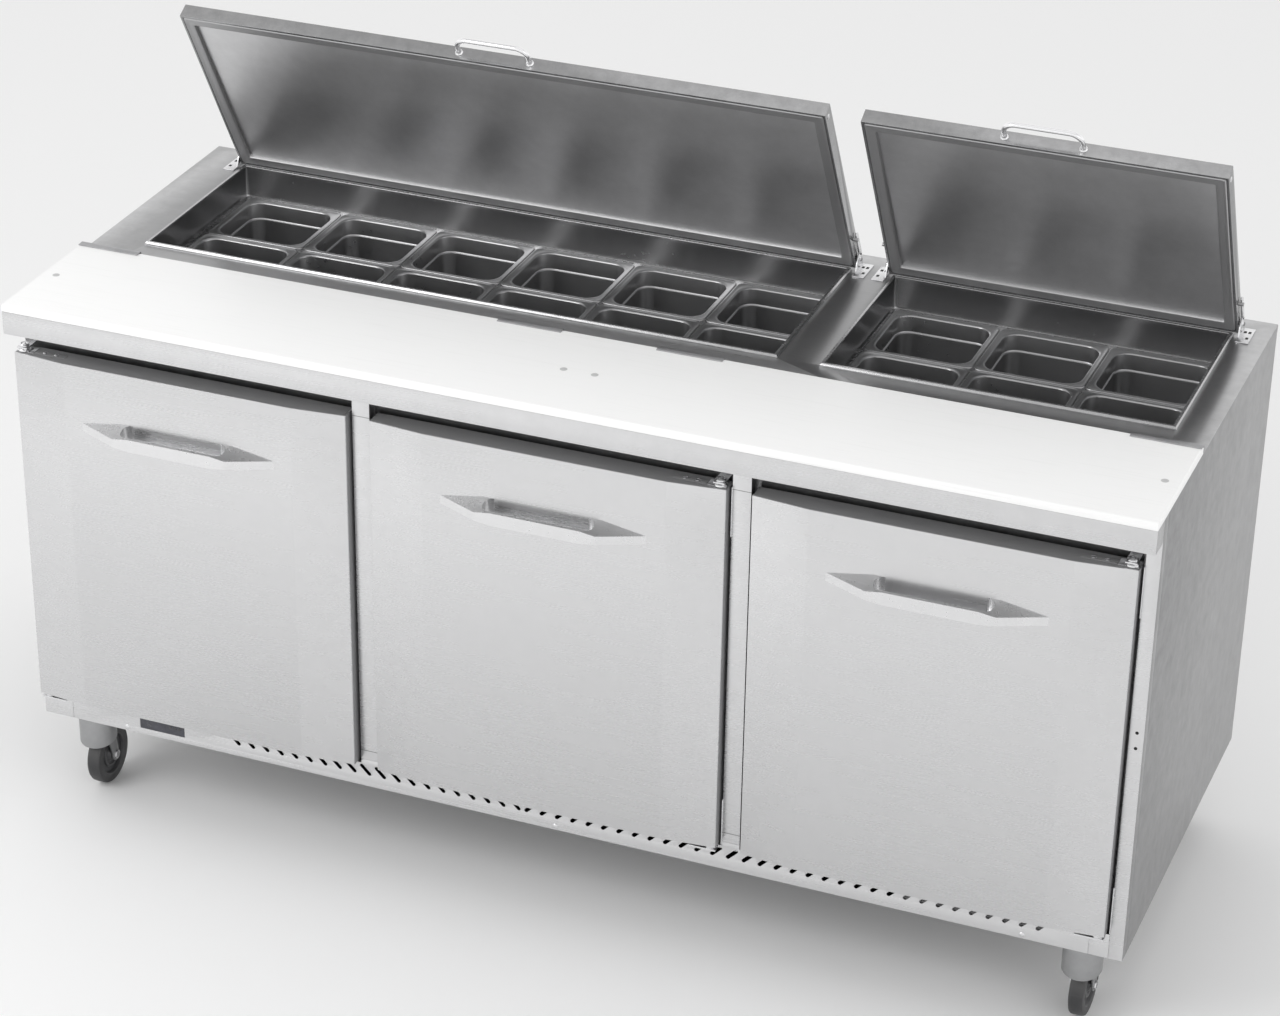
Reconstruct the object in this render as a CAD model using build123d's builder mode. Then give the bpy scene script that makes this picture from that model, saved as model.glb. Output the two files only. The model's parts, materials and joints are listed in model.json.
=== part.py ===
"""Three-door refrigerated sandwich prep table with two hinged lids over eighteen lift-out food pans.

X runs along the counter, the doors face -Y and +Z is up. The origin is at the middle of the
footprint, on the floor. Lengths are millimetres. The doors are modelled closed and the lids open.
"""

from build123d import *
from math import cos, radians, sin
import os

os.makedirs("parts", exist_ok=True)

# ---- driving dimensions: the whole table ---------------------------------------------------------
table_width = 1829.0
counter_depth = 729.0
counter_height = 900.0
case_bottom = 154.0
sheet = 1.5
fit = 0.3
pin_fit = 0.05

# counter top and cutting board
apron_drop = 38.0
apron_reach = 40.0
board_depth = 254.0
board_thickness = 12.7
board_edge = 2.0
clip_width = 106.0
clip_lip = 12.0
clip_foot = 14.0
clip_offset = 131.0
back_drop = 14.0

# food wells and pans
pan_pitch_x = 176.0
pan_pitch_y = 162.0
pan_gap = 1.0
pan_depth = 100.0
pan_wall = 0.9
pan_step_drop = 30.0
pan_step_in = 3.0
pan_mouth_in = 11.0
pan_mouth_radius = 26.0
pan_taper = 5.0
pan_rows = 2
long_columns = 6
short_columns = 3
pan_recess = 47.0
well_side_plays = (10.0, 5.0)
pan_right_gap = 1.0
well_end_play = 14.0
rim_width = 7.0
rim_height = 5.0
ledge_width = 10.5
rim_side_margin = 81.5
bridge_width = 67.0
rim_front = 312.0
well_skirt = 94.0
bar_width = 16.0

# lids
lid_overhang = 5.5
lid_front_overhang = 9.0
lid_rear_overhang = 16.0
lid_skirt = 25.0
lid_seat_gap = 1.0
lid_open_angle = 60.0
lid_liner_drop = 3.0
lid_border = 20.0
lid_recess = 6.0
lid_lip = 4.0
lid_pivot_in = 9.0
lid_pivot_up = 12.0
lid_catch_reach = 50.0
lid_pin_radius = 3.0
lid_pin_length = 8.0
lid_handle_width = 120.0
lid_handle_reach = 32.0
lid_handle_rod = 4.0
lid_handle_bend = 20.0
ear_thickness = 2.5
ear_gap = 2.0
arm_width = 9.0
boss_radius = 10.0
bracket_foot = 22.0
bracket_front = 32.0
bracket_rear = 22.0

# case, doors and grille
door_width = 573.0
door_spacing = 41.0
door_side_margin = 0.5
door_top_drop = 81.0
door_bottom = 198.0
door_ridge_setback = 18.0
door_edge_setback = 27.0
door_back_setback = 58.0
door_facet = 89.5
door_rim = 6.0
frame_setback = 62.0
face_setback = 40.0
post_gap = 6.0
grille_top = 203.5
grille_inset = 52.5
corner_width = 31.0
door_frame_lap = 26.0
gasket_width = 12.0
gasket_inset = 22.0
pivot_inset = 12.0
pivot_setback = 38.0
pivot_radius = 4.0
pivot_depth = 18.0
hinge_lift = 6.0
hinge_reach = 34.0
panel_gap = 2.0
insulation = 56.0
liner_floor = 215.0
liner_ceiling_drop = 94.0

# door handles
handle_half = 167.0
handle_front_half = 98.0
handle_flat_half = 72.0
handle_rear_flat_half = 96.0
handle_reach = 31.0
handle_drop = 104.0
handle_rear_rise = 19.0
handle_tip_rise = 7.0
handle_front_rise = 10.5
handle_corner_rise = 7.0
recess_half = 90.0
recess_wall = 4.0
recess_floor = 5.0

# machine compartment, front grille and controller
machine_front = 475.0
machine_top = 450.0
slot_pitch = 26.0
slot_length = 25.0
slot_width = 6.5
slot_mirror = -42.0
slot_first_inset = 352.5
slot_last_inset = 56.0
slot_level = 184.0
window_inset = 177.5
window_width = 82.0
window_low = 165.0
window_high = 190.0
vent_rows = 9
vent_pitch = 24.0
vent_height = 8.0
fan_radius = 95.0
fan_hub = 22.0
small_fan_radius = 60.0
compressor_radius = 75.0
compressor_height = 180.0
unit_inset = 110.0
unit_margin = 40.0
coil_thickness = 24.0
coil_clear = 16.0
fan_lift = 40.0
fan_depth = 24.0
fan_shaft_radius = 4.0
motor_radius = 32.0
motor_length = 50.0
evaporator_x = 150.0
evaporator_drop = 166.0
evaporator_size = (520.0, 58.0, 150.0)

# wire shelves
shelf_level = 500.0
shelf_wire = 3.0
shelf_frame = 5.0
shelf_pitch = 40.0
shelf_front_gap = 40.0
shelf_rear_gap = 70.0
shelf_end_gap = 6.0

# casters
caster_inset = 69.5
caster_setback = 86.0
wheel_radius = 51.0
wheel_width = 24.0
caster_trail = 25.0
cowl_radius = 31.0
cowl_wall = 3.0
cowl_low = 84.0
axle_radius = 5.0
stem_radius = 8.0
stem_length = 30.0
leg_thickness = 3.0
leg_gap = 2.0
socket_half = 21.0
cowl_slant = 12.0

# ---- places that follow from them ----------------------------------------------------------------
handle_proud = handle_reach - door_ridge_setback
front = -(counter_depth - handle_proud) / 2
rear = front + counter_depth
half = table_width / 2
caster_x = half - caster_inset
grille_left = -half + grille_inset
window_left = -half + window_inset
window_right = window_left + window_width
clip_places = (-half + clip_width / 2, -clip_offset, clip_offset, half - clip_width / 2)
counter_under = counter_height - sheet
apron_low = counter_height - apron_drop
face_y = front + face_setback
frame_y = front + frame_setback
door_back_y = front + door_back_setback
door_top = counter_height - door_top_drop
door_height = door_top - door_bottom
liner_ceiling = counter_height - liner_ceiling_drop
handle_level = door_top - handle_drop
evaporator_z = liner_ceiling - evaporator_drop
door_lefts = [-half + door_side_margin + i * (door_width + door_spacing) for i in range(3)]
door_names = ("door_left", "door_middle", "door_right")
hinge_signs = (-1, 1, 1)
case_rear = rear - sheet - fit
machine_right = door_lefts[1] - door_spacing + post_gap
pan_top = counter_height - pan_recess
pan_flange = 1.5
bar_top = pan_top - pan_flange
ledge_top = bar_top - sheet
rim_top = counter_height + rim_height

well_depth = pan_rows * pan_pitch_y + well_end_play
well_long = (long_columns * pan_pitch_x + well_side_plays[0], well_depth)
well_short = (short_columns * pan_pitch_x + well_side_plays[1], well_depth)
long_rim_left = -half + rim_side_margin
long_centre = long_rim_left + rim_width + well_long[0] / 2
short_left = long_rim_left + 2 * rim_width + well_long[0] + bridge_width
short_centre = short_left + rim_width + well_short[0] / 2
well_y = front + rim_front + rim_width + well_depth / 2
wells = ((long_centre, well_long, long_columns), (short_centre, well_short, short_columns))

lid_length = well_depth + 2 * rim_width + lid_front_overhang + lid_rear_overhang
lid_low = rim_top + lid_seat_gap
lid_rear = well_y + well_depth / 2 + rim_width + lid_rear_overhang
lid_pivot_y = lid_rear - lid_pivot_in
lid_pivot_z = lid_low + lid_pivot_up
lid_axis = Axis((0, lid_pivot_y, lid_pivot_z), (1, 0, 0))

floor_low = case_bottom + sheet
stile_inner = door_lefts[2] + door_width + post_gap
grille_right = stile_inner - corner_width
panel_top = door_bottom - panel_gap
pivot_y = front + pivot_setback
pivot_xs = [
    left + door_width / 2 + sign * (door_width / 2 - pivot_inset)
    for left, sign in zip(door_lefts, hinge_signs)
]
plate_outer = pivot_inset - 1
plate_ends = [(x - sign * hinge_reach, x + sign * plate_outer) for x, sign in zip(pivot_xs, hinge_signs)]
hinge_plates = [(min(ends), max(ends)) for ends in plate_ends]
lower_plate = door_bottom - hinge_lift - 2 * sheet
handle_y = front + door_ridge_setback
axle_z = wheel_radius
caster_ys = (front + caster_setback, rear - caster_setback)
casters = (
    ("caster_front_left", -caster_x, caster_ys[0]),
    ("caster_front_right", caster_x, caster_ys[0]),
    ("caster_rear_left", -caster_x, caster_ys[1]),
    ("caster_rear_right", caster_x, caster_ys[1]),
)


def save(solid, name):
    """Label one finished piece and write it as its own STEP file."""
    solid.label = name
    export_step(solid, f"parts/{name}.step")


def block(x0, x1, y0, y1, z0, z1, mode=Mode.ADD):
    """A box from its two corners, for use inside a part block."""
    with Locations(((x0 + x1) / 2, (y0 + y1) / 2, (z0 + z1) / 2)):
        Box(x1 - x0, y1 - y0, z1 - z0, mode=mode)


# ---- case: folded panels, each with a hairline seam to its neighbour -----------------------------
case_left = -half + sheet + fit
case_right = half - sheet - fit
case_back = case_rear - sheet - fit
frame_depth = frame_y - fit
bay_low = liner_floor
bay_high = liner_ceiling - sheet
bays = [(left + door_frame_lap, left + door_width - door_frame_lap) for left in door_lefts]
with BuildPart() as outer_case:
    # side panels
    block(-half, -half + sheet, frame_y, case_rear, case_bottom, counter_under)
    block(half - sheet, half, frame_y, case_rear, case_bottom, counter_under)
    # back panel, louvred where the condenser breathes
    block(case_left, case_right, case_rear - sheet, case_rear, case_bottom, counter_under)
    for row in range(vent_rows):
        z = floor_low + 40 + row * vent_pitch
        block(-half + 60, machine_right - 60, case_rear - 2 * sheet, case_rear + sheet,
              z, z + vent_height, Mode.SUBTRACT)
    # floor with a socket for each caster stem
    block(case_left, case_right, frame_y, case_back, case_bottom, floor_low)
    for _, x, y in casters:
        block(x - socket_half, x + socket_half, y - socket_half, y + socket_half,
              floor_low, floor_low + stem_length)
        with Locations((x, y, floor_low)):
            Cylinder(stem_radius + pin_fit, 2 * (stem_length + 4 * sheet), mode=Mode.SUBTRACT)
    # face frame round one opening behind each door: head rail, stiles and sill
    block(case_left, case_right, frame_y, frame_y + sheet, bay_high, counter_under)
    stile_ends = [case_left] + [x for bay in bays for x in bay] + [case_right]
    for x0, x1 in zip(stile_ends[0::2], stile_ends[1::2]):
        block(x0, x1, frame_y, frame_y + sheet, bay_low, bay_high - fit)
    sill_low = floor_low + fit
    for x0, x1 in ((case_left, window_left - 5), (window_right + 5, case_right)):
        block(x0, x1, frame_y, frame_y + sheet, sill_low, bay_low - fit)
    block(window_left - 5 + fit, window_right + 5 - fit, frame_y, frame_y + sheet,
          window_high + 6, bay_low - fit)
    # right stile, mullion posts, top flange and the two lower corners stand forward of the face frame
    block(stile_inner, half, face_y, frame_depth, case_bottom, counter_under)
    for left in door_lefts[1:]:
        block(left - door_spacing + post_gap, left - post_gap, face_y, frame_depth,
              grille_top + fit, apron_low)
    block(-half, stile_inner - fit, face_y, frame_depth, apron_low + sheet + fit, counter_under)
    block(-half, grille_left - fit, face_y, frame_depth, case_bottom, panel_top)
    block(grille_right + fit, stile_inner - fit, face_y, frame_depth, case_bottom, panel_top)
    # rail that the bottom grille is screwed to, open behind the controller
    for x0, x1 in ((grille_left, window_left - 5), (window_right + 5, grille_right)):
        block(x0, x1, face_y + 2 * sheet, frame_depth, case_bottom, case_bottom + 8 * sheet)
    # notches for the lower door hinge brackets
    for x0, x1 in hinge_plates:
        block(x0 - 1, x1 + 1, face_y - sheet, frame_y, lower_plate - fit, panel_top + sheet, Mode.SUBTRACT)
save(outer_case.part, "outer_case")

# ---- inner liner: panels of one cold cavity, stepped over the machine compartment ----------------
cavity_left = -half + insulation
cavity_right = half - insulation
cavity_front = frame_y + sheet + fit
cavity_rear = case_rear - insulation
machine_face = front + machine_front
step_right = machine_right - sheet
well_ends = [(c - w / 2 - 2 * sheet, c + w / 2 + 2 * sheet) for c, (w, _), _ in wells]
roof_front = well_y - well_depth / 2 - 2 * sheet
roof_rear = well_y + well_depth / 2 + 2 * sheet
with BuildPart() as inner_liner:
    # floor in front of the machine compartment and beside it
    block(cavity_left, cavity_right, cavity_front, machine_face, liner_floor - sheet, liner_floor)
    block(machine_right + fit, cavity_right, machine_face + fit, cavity_rear,
          liner_floor - sheet, liner_floor)
    # front, side and top of the step
    block(cavity_left, machine_right, machine_face + fit, machine_face + fit + sheet,
          liner_floor, machine_top - sheet)
    block(step_right, machine_right, machine_face + sheet + 2 * fit, cavity_rear,
          liner_floor, machine_top - sheet)
    block(cavity_left, machine_right, machine_face + fit, cavity_rear,
          machine_top - sheet + fit, machine_top)
    # end walls
    block(cavity_left - sheet - fit, cavity_left - fit, cavity_front, machine_face,
          liner_floor - sheet, liner_ceiling)
    block(cavity_left - sheet - fit, cavity_left - fit, machine_face + fit, cavity_rear,
          machine_top - sheet, liner_ceiling)
    block(cavity_right + fit, cavity_right + sheet + fit, cavity_front, cavity_rear,
          liner_floor - sheet, liner_ceiling)
    # back wall above the step and beside it
    block(cavity_left, cavity_right, cavity_rear + fit, cavity_rear + sheet + fit,
          machine_top + fit, liner_ceiling)
    block(machine_right, cavity_right, cavity_rear + fit, cavity_rear + sheet + fit,
          liner_floor, machine_top)
    # roof round the two wells
    block(cavity_left, cavity_right, cavity_front, roof_front, liner_ceiling - sheet, liner_ceiling)
    block(cavity_left, cavity_right, roof_rear, cavity_rear, liner_ceiling - sheet, liner_ceiling)
    roof_ends = [cavity_left] + [x for ends in well_ends for x in ends] + [cavity_right]
    for x0, x1 in zip(roof_ends[0::2], roof_ends[1::2]):
        block(x0, x1, roof_front + fit, roof_rear - fit, liner_ceiling - sheet, liner_ceiling)
    # front trim between the bays
    for x0, x1 in ((bays[0][1], bays[1][0]), (bays[1][1], bays[2][0])):
        block(x0, x1, cavity_front, cavity_front + sheet, liner_floor + fit, liner_ceiling - sheet - fit)
save(inner_liner.part, "inner_liner")

# ---- counter top ---------------------------------------------------------------------------------
with BuildPart() as countertop:
    block(-half, half, front, rear, counter_under, counter_height)
    block(-half, half, rear - sheet, rear, counter_height - back_drop, counter_height)
    block(-half, half, front, front + sheet, apron_low, counter_height)
    block(-half, half, front, front + apron_reach - fit, apron_low, apron_low + sheet)
    for side in (-1, 1):
        x = side * (half - sheet / 2)
        block(x - sheet / 2, x + sheet / 2, front, front + apron_reach - fit, apron_low, counter_height)
    for centre, (width, depth), _ in wells:
        block(centre - width / 2 - 2 * sheet, centre + width / 2 + 2 * sheet,
              well_y - depth / 2 - 2 * sheet, well_y + depth / 2 + 2 * sheet,
              counter_under - sheet, counter_height + sheet, Mode.SUBTRACT)
save(countertop.part, "countertop")

# ---- well liners: raised rim on the counter, walls, and the ledge that carries the pans ----------
with BuildPart() as well_liners:
    for centre, (width, depth), _ in wells:
        y0 = well_y - depth / 2
        y1 = well_y + depth / 2
        x0 = centre - width / 2
        x1 = centre + width / 2
        block(x0 - rim_width, x1 + rim_width, y0 - rim_width, y1 + rim_width, counter_height, rim_top)
        block(x0 - sheet, x1 + sheet, y0 - sheet, y1 + sheet, counter_height - well_skirt, counter_height)
        block(x0, x1, y0, y1, counter_height - well_skirt - sheet, rim_top + sheet, Mode.SUBTRACT)
        block(x0, x1, y0, y1, ledge_top - sheet, ledge_top)
        block(x0 + ledge_width, x1 - ledge_width, y0 + ledge_width, y1 - ledge_width,
              ledge_top - 2 * sheet, ledge_top + sheet, Mode.SUBTRACT)
save(well_liners.part, "well_liners")


def pan_left(centre, width, columns):
    """Left edge of the first column of pans in a well: the columns stand against its right wall."""
    return centre + width / 2 - pan_right_gap - columns * pan_pitch_x


# ---- divider bars under the seams between columns ------------------------------------------------
with BuildPart() as pan_divider_bars:
    for centre, (width, depth), columns in wells:
        for column in range(columns + 1):
            x = pan_left(centre, width, columns) + column * pan_pitch_x
            x0 = max(x - bar_width / 2, centre - width / 2 + fit)
            x1 = min(x + bar_width / 2, centre + width / 2 - fit)
            block(x0, x1, well_y - depth / 2 + fit, well_y + depth / 2 - fit, ledge_top, bar_top)
save(pan_divider_bars.part, "pan_divider_bars")


# ---- food pans -----------------------------------------------------------------------------------
mouth = (pan_pitch_x - 2 * pan_mouth_in, pan_pitch_y - 2 * pan_mouth_in)

pan_step = pan_top - pan_step_drop
pan_floor = pan_top - pan_depth
low_in = pan_taper + pan_step_in


def pan_section(z, inward):
    """A rounded rectangle: one level of a food pan's tapering body."""
    with BuildSketch(Plane.XY.offset(z)) as section:
        RectangleRounded(mouth[0] - 2 * inward, mouth[1] - 2 * inward, pan_mouth_radius - inward)
    return section.sketch


pan_stages = (
    (Mode.ADD, pan_section(pan_top - pan_flange, -pan_wall), pan_section(pan_step - pan_wall, 0)),
    (Mode.ADD, pan_section(pan_step, pan_step_in - pan_wall), pan_section(pan_floor, low_in - pan_wall)),
    (Mode.SUBTRACT, pan_section(pan_top, 0), pan_section(pan_step, pan_wall)),
    (Mode.SUBTRACT, pan_section(pan_step, pan_step_in), pan_section(pan_floor + pan_wall, low_in)),
)
with BuildPart() as pan:
    with BuildSketch(Plane.XY.offset(pan_top - pan_flange)):
        RectangleRounded(pan_pitch_x - pan_gap, pan_pitch_y - pan_gap, 12)
    extrude(amount=pan_flange)
    for stage_mode, upper, lower in pan_stages:
        loft(sections=[upper, lower], mode=stage_mode)

for (centre, (width, _), columns), well_name in zip(wells, ("long", "short")):
    for column in range(columns):
        for row, row_name in enumerate(("front", "rear")):
            x = pan_left(centre, width, columns) + (column + 0.5) * pan_pitch_x
            y = well_y + (row - 0.5) * pan_pitch_y
            save(pan.part.moved(Location((x, y, 0))), f"pan_{well_name}_{row_name}_{column + 1}")

# ---- lids ----------------------------------------------------------------------------------------
for (centre, (width, depth), _), lid_name in zip(wells, ("lid_long", "lid_short")):
    x0 = centre - width / 2 - rim_width - lid_overhang
    x1 = centre + width / 2 + rim_width + lid_overhang
    y0 = lid_rear - lid_length
    top = lid_low + lid_skirt
    with BuildPart() as lid_cover:
        block(x0, x1, y0, lid_rear, lid_low, top)
        top_edges = lid_cover.edges().group_by(Axis.Z)[-1]
        fillet(top_edges, radius=sheet)
        block(x0 + sheet, x1 - sheet, y0 + sheet, lid_rear - sheet,
              lid_low - sheet, top - sheet, Mode.SUBTRACT)
        # hemmed lip turned inwards along the open edge
        block(x0, x1, y0, lid_rear, lid_low, lid_low + sheet)
        block(x0 + lid_lip, x1 - lid_lip, y0 + lid_lip, lid_rear - lid_lip,
              lid_low - sheet, lid_low + 2 * sheet, Mode.SUBTRACT)
        # pivot pin and catch pin stand out of both end skirts
        for x in (x0 - lid_pin_length / 2, x1 + lid_pin_length / 2):
            with Locations((x, lid_pivot_y, lid_pivot_z), (x, lid_pivot_y - lid_catch_reach, lid_pivot_z)):
                Cylinder(lid_pin_radius, lid_pin_length, rotation=(0, 90, 0))
    with BuildPart() as lid_liner:
        block(x0 + sheet + fit, x1 - sheet - fit, y0 + sheet + fit, lid_rear - sheet - fit,
              lid_low + lid_liner_drop, top - sheet - fit)
        block(x0 + lid_border, x1 - lid_border, y0 + lid_border, lid_rear - lid_border,
              lid_low, lid_low + lid_liner_drop + lid_recess, Mode.SUBTRACT)
    with BuildPart() as lid_handle:
        with BuildLine(Plane.XY.offset(lid_low + lid_skirt / 2)):
            path = FilletPolyline(
                (centre - lid_handle_width / 2, y0),
                (centre - lid_handle_width / 2, y0 - lid_handle_reach),
                (centre + lid_handle_width / 2, y0 - lid_handle_reach),
                (centre + lid_handle_width / 2, y0),
                radius=lid_handle_bend,
            )
        with BuildSketch(Plane(path @ 0, z_dir=path % 0)):
            Circle(lid_handle_rod)
        sweep(path=path.edges())
    for piece, suffix in ((lid_cover, "cover"), (lid_liner, "liner"), (lid_handle, "handle")):
        save(piece.part.rotate(lid_axis, -lid_open_angle), f"{lid_name}_{suffix}")


# ---- lid hinge brackets on the counter -----------------------------------------------------------
arm_length = lid_catch_reach + 2 * lid_pin_radius
catch_clear = lid_pin_radius + fit
base_front = lid_pivot_y - bracket_front
base_rear = lid_pivot_y + bracket_rear
with BuildPart() as lid_hinge_brackets:
    for centre, (width, _), _ in wells:
        for side in (-1, 1):
            skirt = centre + side * (width / 2 + rim_width + lid_overhang)
            inner = skirt + side * ear_gap
            outer = inner + side * ear_thickness
            foot = inner + side * bracket_foot
            block(min(inner, foot), max(inner, foot), base_front, base_rear,
                  counter_height, counter_height + ear_thickness)
            # ear: foot, pivot boss and the arm whose front edge stops the catch pin
            with BuildSketch(Plane.YZ.offset(min(inner, outer))):
                with BuildLine():
                    Polyline(
                        (base_front + 14, counter_height),
                        (base_rear, counter_height),
                        (lid_pivot_y + boss_radius, lid_pivot_z),
                        (lid_pivot_y - boss_radius, lid_pivot_z),
                        (base_front + 14, counter_height),
                    )
                make_face()
                with Locations((lid_pivot_y, lid_pivot_z)):
                    Circle(boss_radius)
                turn = 180 - lid_open_angle
                with Locations(Location((lid_pivot_y, lid_pivot_z), turn)):
                    with Locations((arm_length / 2, -catch_clear - arm_width / 2)):
                        Rectangle(arm_length, arm_width)
                with Locations((lid_pivot_y, lid_pivot_z)):
                    Circle(lid_pin_radius + pin_fit, mode=Mode.SUBTRACT)
            extrude(amount=ear_thickness)
save(lid_hinge_brackets.part, "lid_hinge_brackets")

# ---- cutting board and its rear clips ------------------------------------------------------------
board_top = counter_height + board_thickness
with BuildPart() as cutting_board:
    block(-half, half, front, front + board_depth, counter_height, board_top)
    chamfer(cutting_board.edges().group_by(Axis.Z)[-1], length=board_edge)
save(cutting_board.part, "cutting_board")

with BuildPart() as board_clips:
    clip_y = front + board_depth + fit
    for x in clip_places:
        x0 = x - clip_width / 2
        x1 = x + clip_width / 2
        block(x0, x1, clip_y, clip_y + clip_foot, counter_height, counter_height + sheet)
        block(x0, x1, clip_y, clip_y + sheet, counter_height, board_top + fit + sheet)
        block(x0, x1, clip_y - clip_lip, clip_y + sheet, board_top + fit, board_top + fit + sheet)
save(board_clips.part, "board_clips")


# ---- doors ---------------------------------------------------------------------------------------
def door_outline(left, inward, back, z):
    """Faceted plan outline of a door, moved inward by a wall, at a height."""
    right = left + door_width
    edge = front + door_edge_setback + inward
    ridge = front + door_ridge_setback + inward
    with BuildSketch(Plane.XY.offset(z)) as outline:
        with BuildLine():
            Polyline(
                (left + inward, edge), (left + door_facet, ridge), (right - door_facet, ridge),
                (right - inward, edge), (right - inward, back), (left + inward, back), close=True,
            )
        make_face()
    return outline.sketch


def handle_face(setback, width, flat, rise, corner_rise):
    """Hexagonal section of a door handle at one distance from the door."""
    with BuildSketch(Plane.XZ.offset(-(handle_y - setback))) as face:
        with BuildLine():
            Polyline(
                (-width, -corner_rise), (-flat, -rise), (flat, -rise), (width, -corner_rise),
                (width, corner_rise), (flat, rise), (-flat, rise), (-width, corner_rise), close=True,
            )
        make_face()
    return face.sketch


handle_ends = [
    handle_face(0, handle_half, handle_rear_flat_half, handle_rear_rise, handle_tip_rise),
    handle_face(handle_reach, handle_front_half, handle_flat_half, handle_front_rise, handle_corner_rise),
]
with BuildPart() as handle_blank:
    loft(sections=handle_ends, ruled=True)
    # finger recess open at the top
    pocket_depth = handle_reach - recess_wall
    with BuildSketch(Plane.XY.offset(-handle_front_rise + recess_floor)):
        with Locations((0, handle_y - pocket_depth / 2)):
            RectangleRounded(2 * recess_half, pocket_depth, pocket_depth / 2 - fit)
    extrude(amount=3 * handle_rear_rise, mode=Mode.SUBTRACT)

for name, left, pivot_x in zip(door_names, door_lefts, pivot_xs):
    middle = left + door_width / 2
    skin = door_outline(left, 0, door_back_y - door_rim, door_bottom)
    hollow = door_outline(left, sheet, door_back_y, door_bottom + sheet)
    core = door_outline(left, sheet + fit, door_back_y - door_rim + fit, door_bottom + sheet + fit)
    with BuildPart() as panel:
        extrude(skin, amount=door_height)
        extrude(hollow, amount=door_height - 2 * sheet, mode=Mode.SUBTRACT)
        for z in (door_bottom, door_top):
            with Locations((pivot_x, pivot_y, z)):
                Cylinder(pivot_radius + pin_fit, 4 * sheet, mode=Mode.SUBTRACT)
    with BuildPart() as liner:
        extrude(core, amount=door_height - 2 * (sheet + fit))
        block(left, left + door_width, door_back_y - door_rim + fit, door_back_y, door_bottom, door_top)
        for z in (door_bottom, door_top):
            with Locations((pivot_x, pivot_y, z)):
                Cylinder(pivot_radius + pin_fit, 2 * pivot_depth, mode=Mode.SUBTRACT)
    with BuildPart() as gasket:
        y0 = door_back_y
        y1 = frame_y - fit
        x0 = left + gasket_inset
        x1 = left + door_width - gasket_inset
        z0 = door_bottom + gasket_inset - gasket_width
        z1 = door_top - gasket_inset + gasket_width
        block(x0, x1, y0, y1, z0, z1)
        block(x0 + gasket_width, x1 - gasket_width, y0 - fit, y1 + fit,
              z0 + gasket_width, z1 - gasket_width, Mode.SUBTRACT)
    save(panel.part, f"{name}_panel")
    save(liner.part, f"{name}_liner")
    save(gasket.part, f"{name}_gasket")
    save(handle_blank.part.moved(Location((middle, 0, handle_level))), f"{name}_handle")

# ---- door hinge brackets: a plate and pin above and below each hinge edge ------------------------
with BuildPart() as door_hinge_brackets:
    for pivot_x, (x0, x1) in zip(pivot_xs, hinge_plates):
        for edge, direction in ((door_top, 1), (door_bottom, -1)):
            near = edge + direction * hinge_lift
            far = near + direction * 2 * sheet
            low = min(near, far)
            high = max(near, far)
            block(x0, x1, pivot_y - 9, frame_y, low, high)
            tip = edge - direction * (pivot_depth - fit)
            with Locations((pivot_x, pivot_y, (tip + far) / 2)):
                Cylinder(pivot_radius, abs(far - tip))
            with Locations((pivot_x, pivot_y, (edge + near) / 2 + direction * fit / 2)):
                Cylinder(2.2 * pivot_radius, hinge_lift - fit)
save(door_hinge_brackets.part, "door_hinge_brackets")

# ---- bottom grille with mirrored slanted slots, and the controller behind its window -------------
with BuildPart() as grille_panel:
    block(grille_left, grille_right, face_y, face_y + sheet, case_bottom, panel_top)
    for left in door_lefts[1:]:
        block(left - door_spacing + post_gap, left - post_gap, face_y, face_y + sheet,
              case_bottom, grille_top)
    for x0, x1 in hinge_plates:
        block(x0 - 1, x1 + 1, face_y - sheet, face_y + 2 * sheet,
              lower_plate - fit, panel_top + sheet, Mode.SUBTRACT)
    first_slot = slot_first_inset - half
    slots = int((grille_right - slot_last_inset - first_slot) / slot_pitch) + 1
    for i in range(slots):
        x = first_slot + i * slot_pitch
        turn = -45 if x < slot_mirror else 45
        with BuildSketch(Plane.XZ.offset(-face_y - 2 * sheet)):
            with Locations(Location((x, slot_level), turn)):
                SlotOverall(slot_length, slot_width)
        extrude(amount=4 * sheet, mode=Mode.SUBTRACT)
    block(window_left, window_right, face_y - sheet, face_y + 2 * sheet,
          window_low, window_high, Mode.SUBTRACT)
save(grille_panel.part, "grille_panel")

with BuildPart() as temperature_controller:
    block(window_left + fit, window_right - fit, face_y + fit, face_y + sheet + fit,
          window_low + fit, window_high - fit)
    block(window_left - 3, window_right + 3, face_y + sheet + fit, frame_y + 30,
          window_low - 3, window_high + 3)
save(temperature_controller.part, "temperature_controller")

# ---- wire shelves, one in each bay ---------------------------------------------------------------
shelf_front = cavity_front + shelf_front_gap
shelf_rear = cavity_rear - shelf_rear_gap
with BuildPart() as wire_shelves:
    for left in door_lefts:
        x0 = max(left + door_frame_lap, cavity_left) + shelf_end_gap
        x1 = min(left + door_width - door_frame_lap, cavity_right) - shelf_end_gap
        for y in (shelf_front, shelf_rear):
            block(x0, x1, y - shelf_frame, y + shelf_frame, shelf_level, shelf_level + shelf_frame)
        count = int((x1 - x0) / shelf_pitch)
        for i in range(count + 1):
            x = x0 + shelf_wire + i * (x1 - x0 - 2 * shelf_wire) / count
            block(x - shelf_wire, x + shelf_wire, shelf_front, shelf_rear,
                  shelf_level + 1, shelf_level + shelf_frame + shelf_wire)
save(wire_shelves.part, "wire_shelves")

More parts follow.
